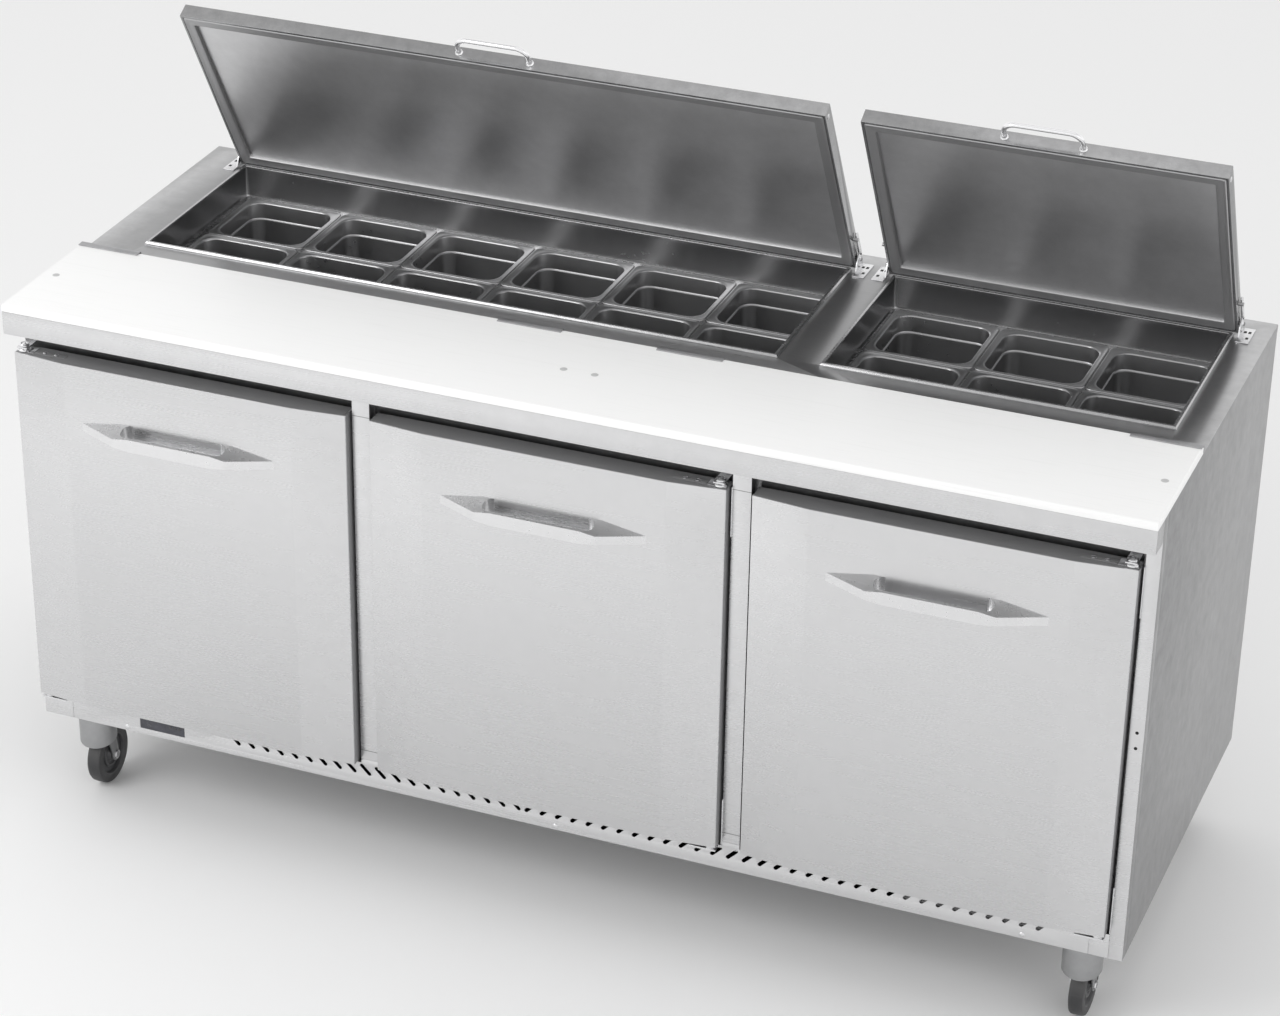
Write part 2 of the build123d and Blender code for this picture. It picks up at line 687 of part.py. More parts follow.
# ---- refrigeration: condensing unit in the compartment at the rear left --------------------------
unit_left = -half + unit_inset
unit_right = machine_right - unit_margin
unit_front = front + machine_front + unit_margin
unit_floor = floor_low + 2 * sheet
fan_x = unit_right - fan_radius - 10 * sheet
fan_z = floor_low + fan_radius + fan_lift
coil_y = case_rear - coil_clear - coil_thickness
fan_y = coil_y - 1.5 * fan_depth
motor_y = fan_y - fan_depth / 2 - motor_length / 2 - 10 * sheet
coil_reach = fan_radius + 5
with BuildPart() as condensing_unit:
    # tray
    block(unit_left, unit_right, unit_front, coil_y + coil_thickness, floor_low, unit_floor)
    # condenser coil behind the fan
    block(fan_x - coil_reach, fan_x + coil_reach, coil_y, coil_y + coil_thickness,
          unit_floor + fit, fan_z + coil_reach)
    # fan motor on its bracket, with the shaft the fan turns on
    with Locations((fan_x, motor_y, fan_z)):
        Cylinder(motor_radius, motor_length, rotation=(90, 0, 0))
    block(fan_x - motor_radius / 4, fan_x + motor_radius / 4,
          motor_y - motor_length / 4, motor_y + motor_length / 4, unit_floor + fit, fan_z)
    with Locations((fan_x, (motor_y + fan_y) / 2 + fan_depth / 2, fan_z)):
        Cylinder(fan_shaft_radius, fan_y - motor_y, rotation=(90, 0, 0))
    # compressor shell
    shell_x = unit_left + compressor_radius + 10
    shell_y = unit_front + compressor_radius + 10
    with Locations((shell_x, shell_y, unit_floor + fit)):
        Cylinder(compressor_radius, compressor_height, align=(Align.CENTER, Align.CENTER, Align.MIN))
    shell_rims = condensing_unit.edges().filter_by(GeomType.CIRCLE)
    shell_rims = shell_rims.filter_by(lambda e: abs(e.radius - compressor_radius) < fit)
    fillet(shell_rims.sort_by(Axis.Z)[-1], radius=compressor_radius / 2)
save(condensing_unit.part, "condensing_unit")


def fan_blades(centre, radius, hub, bore, depth, blades):
    """A hub and pitched blades turning on a shaft along Y."""
    with Locations(centre):
        Cylinder(hub, depth, rotation=(90, 0, 0))
    for i in range(blades):
        angle = i * 360 / blades
        reach = (hub + radius) / 2 - 1
        spot = (centre[0] + reach * cos(radians(angle)), centre[1], centre[2] - reach * sin(radians(angle)))
        with Locations(Location(spot, (0, angle, 0))):
            Box(radius - hub + 2, 2.0, 0.5 * radius, rotation=(28, 0, 0))
    with Locations(centre):
        Cylinder(bore, 2 * depth, rotation=(90, 0, 0), mode=Mode.SUBTRACT)


with BuildPart() as condenser_fan:
    fan_blades((fan_x, fan_y, fan_z), fan_radius - 8, fan_hub, fan_shaft_radius + pin_fit, fan_depth, 5)
save(condenser_fan.part, "condenser_fan")

coil_width, coil_depth, coil_height = evaporator_size
evaporator_front = cavity_rear - coil_depth - 2 * sheet
evaporator_fan_y = evaporator_front - fan_depth
with BuildPart() as evaporator:
    block(evaporator_x - coil_width / 2, evaporator_x + coil_width / 2,
          evaporator_front, evaporator_front + coil_depth,
          evaporator_z - coil_height / 2, evaporator_z + coil_height / 2)
    with Locations((evaporator_x, evaporator_front - fan_depth + 1, evaporator_z)):
        Cylinder(fan_shaft_radius, 2 * fan_depth, rotation=(90, 0, 0))
save(evaporator.part, "evaporator")

with BuildPart() as evaporator_fan:
    fan_blades((evaporator_x, evaporator_fan_y, evaporator_z), small_fan_radius, 0.75 * fan_hub,
               fan_shaft_radius + pin_fit, fan_depth, 5)
save(evaporator_fan.part, "evaporator_fan")

# ---- casters -------------------------------------------------------------------------------------
cowl_high = case_bottom - 2
with BuildPart() as fork:
    with Locations((0, 0, (cowl_low + cowl_high) / 2)):
        Cylinder(cowl_radius, cowl_high - cowl_low)
    with Locations((0, 0, (cowl_low + cowl_high) / 2 - 8)):
        Cylinder(cowl_radius - cowl_wall, cowl_high - cowl_low - 8, mode=Mode.SUBTRACT)
    # bottom edge slants down towards the axle
    with Locations(Location((0, -cowl_radius, cowl_low - 6), (cowl_slant, 0, 0))):
        Box(3 * cowl_radius, 4 * cowl_radius, 24, mode=Mode.SUBTRACT)
    for side in (-1, 1):
        x0 = side * (wheel_width / 2 + leg_gap)
        x1 = x0 + side * leg_thickness
        with BuildSketch(Plane.YZ.offset(min(x0, x1))):
            with BuildLine():
                Polyline(
                    (-16, cowl_high - 4), (16, cowl_high - 4), (caster_trail + 9, axle_z),
                    (caster_trail - 9, axle_z), (-16, cowl_high - 4),
                )
            make_face()
            with Locations((caster_trail, axle_z)):
                Circle(10)
        extrude(amount=leg_thickness)
    with Locations((0, caster_trail, axle_z)):
        Cylinder(wheel_radius + leg_gap, wheel_width + 2 * leg_gap, rotation=(0, 90, 0), mode=Mode.SUBTRACT)
        Cylinder(axle_radius, wheel_width + 2 * leg_gap + 2 * leg_thickness + 6, rotation=(0, 90, 0))
    with Locations((0, 0, cowl_high + stem_length / 2)):
        Cylinder(stem_radius, stem_length)

with BuildPart() as wheel:
    with BuildSketch(Plane.XZ):
        with Locations(((axle_radius + pin_fit + wheel_radius) / 2, 0)):
            Rectangle(wheel_radius - axle_radius - pin_fit, wheel_width)
        for side in (-1, 1):
            with Locations((27, side * wheel_width / 2)):
                Rectangle(20, 12, mode=Mode.SUBTRACT)
    revolve(axis=Axis.Z)
    wheel_rims = wheel.edges().filter_by(GeomType.CIRCLE)
    fillet(wheel_rims.filter_by(lambda e: e.radius > wheel_radius - 0.1), radius=3)

for name, x, y in casters:
    save(fork.part.moved(Location((x, y, 0))), f"{name}_fork")
    place = Location((x, y + caster_trail, axle_z), (0, 90, 0))
    save(wheel.part.moved(place), f"{name}_wheel")
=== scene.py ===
"""Refrigerated sandwich prep table: finished pieces, finishes, studio and camera."""

import json
import logging
from dataclasses import dataclass
from enum import Enum
from math import cos, pi, radians, sin
from typing import Optional, Sequence, Union

import bmesh
import bpy
from mathutils import Matrix, Vector


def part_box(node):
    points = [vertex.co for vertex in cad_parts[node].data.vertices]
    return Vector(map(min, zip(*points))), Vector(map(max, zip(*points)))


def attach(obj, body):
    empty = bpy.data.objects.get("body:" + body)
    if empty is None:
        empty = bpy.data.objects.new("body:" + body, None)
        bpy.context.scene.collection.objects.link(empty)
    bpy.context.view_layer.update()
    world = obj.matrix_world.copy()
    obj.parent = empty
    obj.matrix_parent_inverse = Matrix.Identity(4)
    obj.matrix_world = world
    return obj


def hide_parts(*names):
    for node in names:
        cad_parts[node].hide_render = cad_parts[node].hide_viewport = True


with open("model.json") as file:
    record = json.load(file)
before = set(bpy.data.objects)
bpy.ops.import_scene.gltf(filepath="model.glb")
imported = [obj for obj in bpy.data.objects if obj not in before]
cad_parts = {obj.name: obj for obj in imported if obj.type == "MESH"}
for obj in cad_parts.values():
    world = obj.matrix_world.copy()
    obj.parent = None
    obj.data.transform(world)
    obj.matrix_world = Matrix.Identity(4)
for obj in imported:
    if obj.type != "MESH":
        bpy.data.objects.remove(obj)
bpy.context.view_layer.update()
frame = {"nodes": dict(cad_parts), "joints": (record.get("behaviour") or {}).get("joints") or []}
log = logging.getLogger("prep_table")

Point = tuple[float, float, float]
Colour = tuple[float, float, float]
Span = tuple[float, float]
Socket = bpy.types.NodeSocket
Feed = Union[bpy.types.NodeSocket, float]
Tree = bpy.types.NodeTree
MM = 0.001
LID_TILT = radians(60)


class Direction(Enum):
    """Axis that a turned or straight piece lies along."""

    X = (1.0, 0.0, 0.0)
    Y = (0.0, 1.0, 0.0)
    Z = (0.0, 0.0, 1.0)


class Grain(Enum):
    """Way the polishing lines run on a metal finish, as a stretch of the pattern's space."""

    ALONG_X = (3.0, 260.0, 260.0)
    ALONG_Z = (260.0, 260.0, 3.0)
    EVEN = (120.0, 120.0, 120.0)


# ---- shader node groups ------------------------------------------------------------------------


class EffectGroups:
    """Shared surface effects, each built once as a node group."""

    def __init__(self) -> None:
        """Build every group."""
        self.grain = self._grain()
        self.smudge = self._smudge()
        self.wear = self._wear()
        self.dust = self._dust()
        self.stipple = self._stipple()
        self.scratches = self._scratches()

    @staticmethod
    def _new(name: str, inputs: dict[str, float], outputs: Sequence[str],
             vector: bool = True) -> tuple[Tree, bpy.types.Node, bpy.types.Node]:
        """Make an empty group.

        Args:
            name: Group name.
            inputs: Float inputs and their defaults.
            outputs: Names of the float outputs.
            vector: Whether the group reads a Vector input.

        Returns:
            The tree, its input node and its output node.
        """
        tree = bpy.data.node_groups.new(name, "ShaderNodeTree")
        if vector:
            tree.interface.new_socket("Vector", in_out="INPUT", socket_type="NodeSocketVector")
        for label, value in inputs.items():
            socket = tree.interface.new_socket(label, in_out="INPUT", socket_type="NodeSocketFloat")
            socket.default_value = value
        for label in outputs:
            tree.interface.new_socket(label, in_out="OUTPUT", socket_type="NodeSocketFloat")
        return tree, tree.nodes.new("NodeGroupInput"), tree.nodes.new("NodeGroupOutput")

    @staticmethod
    def _math(tree: Tree, operation: str, first: Feed, second: Feed, clamp: bool = False) -> Socket:
        """Add a Math node fed by two sockets or numbers.

        Args:
            tree: Where the node goes.
            operation: The Math operation.
            first: First input.
            second: Second input.
            clamp: Whether the result is held between 0 and 1.

        Returns:
            The node's output.
        """
        node = tree.nodes.new("ShaderNodeMath")
        node.operation = operation
        node.use_clamp = clamp
        for index, value in enumerate((first, second)):
            if isinstance(value, (int, float)):
                node.inputs[index].default_value = value
            else:
                tree.links.new(value, node.inputs[index])
        return node.outputs[0]

    @staticmethod
    def _noise(tree: Tree, vector: Socket, scale: Feed, detail: float = 3.0, rough: float = 0.55) -> Socket:
        """Add a noise texture.

        Args:
            tree: Where the node goes.
            vector: Coordinates.
            scale: Scale of the pattern.
            detail: Number of finer layers.
            rough: Strength of the finer layers.

        Returns:
            The pattern's factor.
        """
        node = tree.nodes.new("ShaderNodeTexNoise")
        node.inputs["Detail"].default_value = detail
        node.inputs["Roughness"].default_value = rough
        if isinstance(scale, (int, float)):
            node.inputs["Scale"].default_value = scale
        else:
            tree.links.new(scale, node.inputs["Scale"])
        tree.links.new(vector, node.inputs["Vector"])
        return node.outputs["Fac"]

    def _grain(self) -> Tree:
        """Fine polishing lines; the caller stretches the vector."""
        tree, start, end = self._new("brushed_grain", {"Scale": 3.0, "Amount": 0.1}, ("Shift", "Height"))
        fine = self._noise(tree, start.outputs["Vector"], start.outputs["Scale"], 2.0)
        centred = self._math(tree, "SUBTRACT", fine, 0.5)
        tree.links.new(self._math(tree, "MULTIPLY", centred, start.outputs["Amount"]), end.inputs["Shift"])
        tree.links.new(fine, end.inputs["Height"])
        return tree

    def _smudge(self) -> Tree:
        """Broad soft patches left by wiping and handling."""
        tree, start, end = self._new("wiped_patches", {"Scale": 4.0, "Amount": 0.1}, ("Shift",))
        broad = self._noise(tree, start.outputs["Vector"], start.outputs["Scale"], 4.0, 0.6)
        centred = self._math(tree, "SUBTRACT", broad, 0.5)
        tree.links.new(self._math(tree, "MULTIPLY", centred, start.outputs["Amount"]), end.inputs["Shift"])
        return tree

    def _wear(self) -> Tree:
        """Brighter, rubbed edges, broken up by noise."""
        tree, start, end = self._new("rubbed_edges", {"Amount": 0.5, "Sharpness": 14.0}, ("Mask",))
        shape = tree.nodes.new("ShaderNodeNewGeometry")
        raised = self._math(tree, "SUBTRACT", shape.outputs["Pointiness"], 0.505)
        raised = self._math(tree, "MULTIPLY", raised, start.outputs["Sharpness"], True)
        broken = self._noise(tree, start.outputs["Vector"], 40.0, 4.0, 0.65)
        mask = self._math(tree, "MULTIPLY", raised, broken)
        tree.links.new(self._math(tree, "MULTIPLY", mask, start.outputs["Amount"], True), end.inputs["Mask"])
        return tree

    def _dust(self) -> Tree:
        """A thin film that settles on faces turned upwards."""
        tree, start, end = self._new("settled_dust", {"Amount": 0.2, "Scale": 9.0}, ("Mask",))
        shape = tree.nodes.new("ShaderNodeNewGeometry")
        split = tree.nodes.new("ShaderNodeSeparateXYZ")
        tree.links.new(shape.outputs["Normal"], split.inputs[0])
        upward = self._math(tree, "MULTIPLY", split.outputs["Z"], 1.0, True)
        patchy = self._noise(tree, start.outputs["Vector"], start.outputs["Scale"], 5.0, 0.6)
        mask = self._math(tree, "MULTIPLY", upward, patchy)
        tree.links.new(self._math(tree, "MULTIPLY", mask, start.outputs["Amount"], True), end.inputs["Mask"])
        return tree

    def _stipple(self) -> Tree:
        """Pressed or moulded pebble texture."""
        tree, start, end = self._new("pebble", {"Scale": 300.0}, ("Height",))
        cells = tree.nodes.new("ShaderNodeTexVoronoi")
        tree.links.new(start.outputs["Vector"], cells.inputs["Vector"])
        tree.links.new(start.outputs["Scale"], cells.inputs["Scale"])
        tree.links.new(cells.outputs["Distance"], end.inputs["Height"])
        return tree

    def _scratches(self) -> Tree:
        """Short crossing knife or handling marks."""
        tree, start, end = self._new("fine_marks", {"Scale": 6.0, "Amount": 0.5}, ("Mask",))
        total = None
        for turn in (0.5, 1.3, 2.3):
            mapping = tree.nodes.new("ShaderNodeMapping")
            mapping.inputs["Rotation"].default_value = (0.2, 0.1, turn)
            mapping.inputs["Scale"].default_value = (1.0, 60.0, 30.0)
            tree.links.new(start.outputs["Vector"], mapping.inputs["Vector"])
            line = self._noise(tree, mapping.outputs["Vector"], start.outputs["Scale"], 2.0, 0.5)
            line = self._math(tree, "MULTIPLY", self._math(tree, "SUBTRACT", line, 0.64), 14.0, True)
            total = line if total is None else self._math(tree, "MAXIMUM", total, line)
        tree.links.new(self._math(tree, "MULTIPLY", total, start.outputs["Amount"], True),
                       end.inputs["Mask"])
        return tree


effects = EffectGroups()


@dataclass(frozen=True)
class Finish:
    """One surface finish, made into a material the first time it is used.

    The shifts are added to the plain roughness; the masks mix the second and the dust colour in.
    """

    name: str
    colour: Colour
    roughness: float
    metallic: float = 1.0
    grain: Grain = Grain.EVEN
    grain_shift: float = 0.10
    grain_bump: float = 0.02
    smudge_scale: float = 4.0
    smudge_shift: float = 0.08
    edge_colour: Colour = (0.92, 0.92, 0.93)
    edge_amount: float = 0.5
    dust_colour: Colour = (0.55, 0.54, 0.52)
    dust_amount: float = 0.06
    pebble_scale: float = 0.0
    pebble_bump: float = 0.0
    marks: float = 0.0
    marks_colour: Colour = (0.7, 0.7, 0.69)
    coat: float = 0.0
    specular: float = 0.5
    alpha: float = 1.0
    transmission: float = 0.0

    def material(self) -> bpy.types.Material:
        """The Blender material, built on first use."""
        found = bpy.data.materials.get(self.name)
        return found if found else self._build()

    def _group(self, nodes: bpy.types.Nodes, tree: Tree, vector: Socket, links: bpy.types.NodeLinks,
               **values: float) -> bpy.types.Node:
        """Place one effect group.

        Args:
            nodes: Material nodes.
            tree: The effect's node group.
            vector: Socket with the coordinates.
            links: Material links.
            values: Float inputs of the group.

        Returns:
            The group node.
        """
        node = nodes.new("ShaderNodeGroup")
        node.node_tree = tree
        links.new(vector, node.inputs["Vector"])
        for label, value in values.items():
            node.inputs[label].default_value = value
        return node

    def _build(self) -> bpy.types.Material:
        """Wire the nodes."""
        made = bpy.data.materials.new(self.name)
        made.use_nodes = True
        nodes, links = made.node_tree.nodes, made.node_tree.links
        shader = nodes["Principled BSDF"]
        shader.inputs["Metallic"].default_value = self.metallic
        shader.inputs["Coat Weight"].default_value = self.coat
        shader.inputs["Coat Roughness"].default_value = 0.08
        shader.inputs["Specular IOR Level"].default_value = self.specular
        shader.inputs["Alpha"].default_value = self.alpha
        shader.inputs["Transmission Weight"].default_value = self.transmission
        place = nodes.new("ShaderNodeTexCoord").outputs["Object"]
        mapping = nodes.new("ShaderNodeMapping")
        mapping.inputs["Scale"].default_value = self.grain.value
        links.new(place, mapping.inputs["Vector"])
        grain = self._group(nodes, effects.grain, mapping.outputs["Vector"], links, Scale=1.0,
                            Amount=self.grain_shift)
        smudge = self._group(
            nodes, effects.smudge, place, links, Scale=self.smudge_scale, Amount=self.smudge_shift
        )
        wear = self._group(nodes, effects.wear, place, links, Amount=self.edge_amount)
        dust = self._group(nodes, effects.dust, place, links, Amount=self.dust_amount)
        first = self._add(nodes, links, grain.outputs["Shift"], self.roughness)
        second = self._add(nodes, links, smudge.outputs["Shift"], first)
        links.new(self._add(nodes, links, dust.outputs["Mask"], second, clamp=True),
                  shader.inputs["Roughness"])
        colour = self._mix(nodes, links, wear.outputs["Mask"], self.colour, self.edge_colour)
        colour = self._mix(nodes, links, dust.outputs["Mask"], colour, self.dust_colour)
        if self.marks > 0:
            marks = self._group(nodes, effects.scratches, place, links, Amount=self.marks)
            colour = self._mix(nodes, links, marks.outputs["Mask"], colour, self.marks_colour)
        links.new(colour, shader.inputs["Base Color"])
        height = grain.outputs["Height"]
        strength = self.grain_bump
        if self.pebble_bump > 0:
            pebble = self._group(nodes, effects.stipple, place, links, Scale=self.pebble_scale)
            height = pebble.outputs["Height"]
            strength = self.pebble_bump
        bump = nodes.new("ShaderNodeBump")
        bump.inputs["Strength"].default_value = strength
        bump.inputs["Distance"].default_value = 0.001
        links.new(height, bump.inputs["Height"])
        links.new(bump.outputs["Normal"], shader.inputs["Normal"])
        return made

    @staticmethod
    def _add(nodes: bpy.types.Nodes, links: bpy.types.NodeLinks, first: Socket, second: Feed,
             clamp: bool = False) -> Socket:
        """Sum of two sockets, or of a socket and a number.

        Args:
            nodes: Material nodes.
            links: Material links.
            first: First input.
            second: Second input, or the number added.
            clamp: Whether the sum is held between 0 and 1.

        Returns:
            The sum.
        """
        node = nodes.new("ShaderNodeMath")
        node.operation = "ADD"
        node.use_clamp = clamp
        links.new(first, node.inputs[0])
        if isinstance(second, (int, float)):
            node.inputs[1].default_value = second
        else:
            links.new(second, node.inputs[1])
        return node.outputs[0]

    @staticmethod
    def _mix(nodes: bpy.types.Nodes, links: bpy.types.NodeLinks, mask: Socket, first: Union[Socket, Colour],
             second: Colour) -> Socket:
        """Colour mix.

        Args:
            nodes: Material nodes.
            links: Material links.
            mask: Share of the second colour.
            first: Colour where the mask is 0.
            second: Colour where the mask is 1.

        Returns:
            The mixed colour.
        """
        node = nodes.new("ShaderNodeMix")
        node.data_type = "RGBA"
        links.new(mask, node.inputs["Factor"])
        if isinstance(first, tuple):
            node.inputs["A"].default_value = (*first, 1.0)
        else:
            links.new(first, node.inputs["A"])
        node.inputs["B"].default_value = (*second, 1.0)
        return node.outputs["Result"]


# Painted light: the front faces get a lighter copy of the same steel that the sides and top carry darker.
LIT_FRONT_STEEL = Finish("steel_painted_lit_front", (0.64, 0.64, 0.645), 0.28, grain=Grain.ALONG_X, edge_amount=0.3)
# Painted shade: the case's sides get a darker copy of the front's steel colour.
SHADED_SIDE_STEEL = Finish("steel_painted_shaded_side", (0.23, 0.23, 0.233), 0.34, grain=Grain.ALONG_Z, edge_amount=0.3)
# Painted shade: the counter top gets a darker copy of the front's steel colour; the fine marks on it are
# real.
SHADED_TOP_STEEL = Finish("steel_painted_shaded_top", (0.34, 0.34, 0.344), 0.28, grain=Grain.ALONG_X, marks=0.06)
WELL_STEEL = Finish("well_surround_steel", (0.37, 0.37, 0.374), 0.24, grain=Grain.EVEN, grain_bump=0.01)
PAN_STEEL = Finish("food_pan_steel", (0.40, 0.40, 0.404), 0.30, grain=Grain.EVEN, grain_bump=0.002,
                   edge_amount=0.0, dust_amount=0.0)
LID_STEEL = Finish("lid_cover_steel", (0.28, 0.28, 0.283), 0.22, grain=Grain.ALONG_X)
LID_PANEL = Finish("lid_inner_steel", (0.54, 0.54, 0.545), 0.36, grain=Grain.EVEN, grain_bump=0.05)
LID_FRAME = Finish("lid_frame_grey", (0.42, 0.42, 0.425), 0.42, metallic=0.9, edge_colour=(0.6, 0.6, 0.6))
CHROME = Finish("bright_rod", (0.86, 0.86, 0.87), 0.22, grain_shift=0.03, smudge_shift=0.05, edge_amount=0.1)
HANDLE_SILVER = Finish("cast_handle_silver", (0.72, 0.72, 0.725), 0.26, metallic=1.0, pebble_scale=900.0,
                       pebble_bump=0.04)
BRACKET_STEEL = Finish("pressed_bracket_steel", (0.68, 0.68, 0.69), 0.25, edge_amount=0.6)
CLIP_STEEL = Finish("board_clip_steel", (0.30, 0.30, 0.31), 0.33, grain=Grain.ALONG_X)
CORE_PLASTIC = Finish("door_edge_plastic", (0.27, 0.27, 0.275), 0.55, metallic=0.0, pebble_scale=700.0,
                      pebble_bump=0.25, edge_colour=(0.3, 0.3, 0.31), dust_amount=0.15)
GASKET_RUBBER = Finish("door_gasket_rubber", (0.022, 0.022, 0.024), 0.55, metallic=0.0, pebble_scale=900.0,
                       pebble_bump=0.1, edge_colour=(0.09, 0.09, 0.09), dust_amount=0.1)
TYRE_RUBBER = Finish("caster_tyre_rubber", (0.028, 0.028, 0.030), 0.48, metallic=0.0, pebble_scale=650.0,
                     pebble_bump=0.12, edge_colour=(0.12, 0.12, 0.12), dust_amount=0.22, marks=0.15,
                     marks_colour=(0.09, 0.09, 0.09))
HUB_PLASTIC = Finish("caster_hub_plastic", (0.05, 0.05, 0.053), 0.35, metallic=0.0, pebble_scale=500.0,
                     pebble_bump=0.06, edge_colour=(0.16, 0.16, 0.16))
ZINC = Finish("caster_zinc_plate", (0.31, 0.313, 0.317), 0.40, metallic=0.8, smudge_scale=22.0,
              smudge_shift=0.22, edge_colour=(0.65, 0.65, 0.66))
BOARD_PLASTIC = Finish("white_work_board", (0.93, 0.93, 0.925), 0.42, metallic=0.0, pebble_scale=420.0,
                       pebble_bump=0.05, edge_colour=(0.97, 0.97, 0.97), dust_amount=0.0, marks=0.16,
                       marks_colour=(0.74, 0.74, 0.73))
PLUG_PLASTIC = Finish("grey_board_plug", (0.52, 0.52, 0.52), 0.5, metallic=0.0, pebble_scale=600.0,
                      pebble_bump=0.1,
                      edge_colour=(0.7, 0.7, 0.7))
LINER_ALUMINIUM = Finish("stippled_liner", (0.74, 0.745, 0.75), 0.33, pebble_scale=160.0, pebble_bump=0.35,
                         smudge_shift=0.05)
SHELF_COATING = Finish("shelf_epoxy", (0.78, 0.78, 0.77), 0.35, metallic=0.0, coat=0.3, grain_bump=0.03)
UNIT_PAINT = Finish("compressor_paint", (0.035, 0.035, 0.038), 0.32, metallic=0.0, coat=0.4,
                    dust_amount=0.35,
                    edge_colour=(0.2, 0.2, 0.2), pebble_scale=500.0, pebble_bump=0.06)
FIN_ALUMINIUM = Finish("fin_aluminium", (0.66, 0.67, 0.68), 0.40, grain=Grain.ALONG_Z, dust_amount=0.2)
FAN_ALUMINIUM = Finish("fan_blade_aluminium", (0.62, 0.63, 0.64), 0.34, grain=Grain.ALONG_X,
                       dust_amount=0.25)
FILTER_MESH = Finish("air_filter_mesh", (0.22, 0.22, 0.225), 0.6, metallic=0.5, pebble_scale=420.0,
                     pebble_bump=0.4,
                     dust_amount=0.2)
WINDOW_GLASS = Finish("controller_window", (0.012, 0.013, 0.017), 0.10, metallic=0.0, coat=0.6,
                      grain_shift=0.04, grain_bump=0.0, edge_colour=(0.1, 0.1, 0.14), dust_amount=0.08)
# Painted shade: near-black flat pieces standing for the shade inside holes and slots.
PAINTED_SHADE_BLACK = Finish("shadow_gap", (0.012, 0.012, 0.012), 0.8, metallic=0.0, edge_amount=0.0, dust_amount=0.1)
SEAM_DARK = Finish("panel_seam", (0.12, 0.12, 0.12), 0.6, metallic=0.3, edge_amount=0.0)
FLOOR_PALE = Finish("studio_floor", (0.93, 0.93, 0.93), 0.85, metallic=0.0, edge_amount=0.0, dust_amount=0.0,
                    smudge_shift=0.05, grain_bump=0.0, specular=0.2)


# ---- modelling by hand, in operators -------------------------------------------------------------


def deselect() -> None:
    """Leave object mode clean, with nothing selected."""
    if bpy.context.mode != "OBJECT":
        bpy.ops.object.mode_set(mode="OBJECT")
    bpy.ops.object.select_all(action="DESELECT")


def pick(piece: bpy.types.Object) -> bpy.types.Object:
    """Make one piece the only selected and active one."""
    deselect()
    piece.select_set(True)
    bpy.context.view_layer.objects.active = piece
    return piece


def modify(piece: bpy.types.Object, kind: str, **settings: object) -> bpy.types.Object:
    """Add a modifier and apply it.

    Args:
        piece: The piece to change.
        kind: Modifier type.
        settings: Modifier properties by name.

    Returns:
        The same piece.
    """
    pick(piece)
    bpy.ops.object.modifier_add(type=kind)
    modifier = piece.modifiers[-1]
    for label, value in settings.items():
        setattr(modifier, label, value)
    bpy.ops.object.modifier_apply(modifier=modifier.name)
    return piece


def settle(piece: bpy.types.Object, name: str, smooth: float = 35.0) -> bpy.types.Object:
    """Put a piece's place into its mesh, name it and shade it."""
    pick(piece)
    bpy.ops.object.transform_apply(location=True, rotation=True, scale=True)
    bpy.ops.object.shade_smooth_by_angle(angle=radians(smooth))
    piece.name = name
    piece.data.name = name
    return piece


def soften(piece: bpy.types.Object, width: float, segments: int = 2,
           angle: float = 30.0) -> bpy.types.Object:
    """Round the sharp edges of a piece."""
    return modify(piece, "BEVEL", width=width, segments=segments, limit_method="ANGLE",
                  angle_limit=radians(angle), miter_outer="MITER_ARC")


def slab(name: str, low: Point, high: Point, bevel: float = 0.0004, segments: int = 2) -> bpy.types.Object:
    """A bevelled slab between two corners, in metres.

    Args:
        name: Piece name.
        low: Lowest corner, in metres.
        high: Highest corner, in metres.
        bevel: Width of the rounded edges.
        segments: Steps of the rounding.

    Returns:
        The finished piece.
    """
    deselect()
    middle = [(a + b) / 2 for a, b in zip(low, high)]
    size = [b - a for a, b in zip(low, high)]
    bpy.ops.mesh.primitive_cube_add(size=1.0, location=middle)
    piece = bpy.context.active_object
    piece.scale = size
    bpy.ops.object.transform_apply(location=True, rotation=True, scale=True)
    if bevel > 0:
        soften(piece, min(bevel, min(size) * 0.45), segments)
    return settle(piece, name)


def rod(name: str, centre: Point, radius: float, length: float, way: Direction, bevel: float = 0.0003,
        sides: int = 32) -> bpy.types.Object:
    """A round rod or disc with softened ends.

    Args:
        name: Piece name.
        centre: Middle of the rod, in metres.
        radius: Radius.
        length: Length along its axis.
        way: Axis it lies along.
        bevel: Width of the softened rims.
        sides: Facets round the rod.

    Returns:
        The finished piece.
    """
    deselect()
    turn = Vector((0, 0, 1)).rotation_difference(Vector(way.value)).to_euler()
    bpy.ops.mesh.primitive_cylinder_add(vertices=sides, radius=radius, depth=length, location=centre,
                                        rotation=turn)
    piece = bpy.context.active_object
    bpy.ops.object.transform_apply(location=True, rotation=True, scale=True)
    if bevel > 0:
        soften(piece, min(bevel, length * 0.4, radius * 0.4), 2, 50)
    return settle(piece, name, 40)


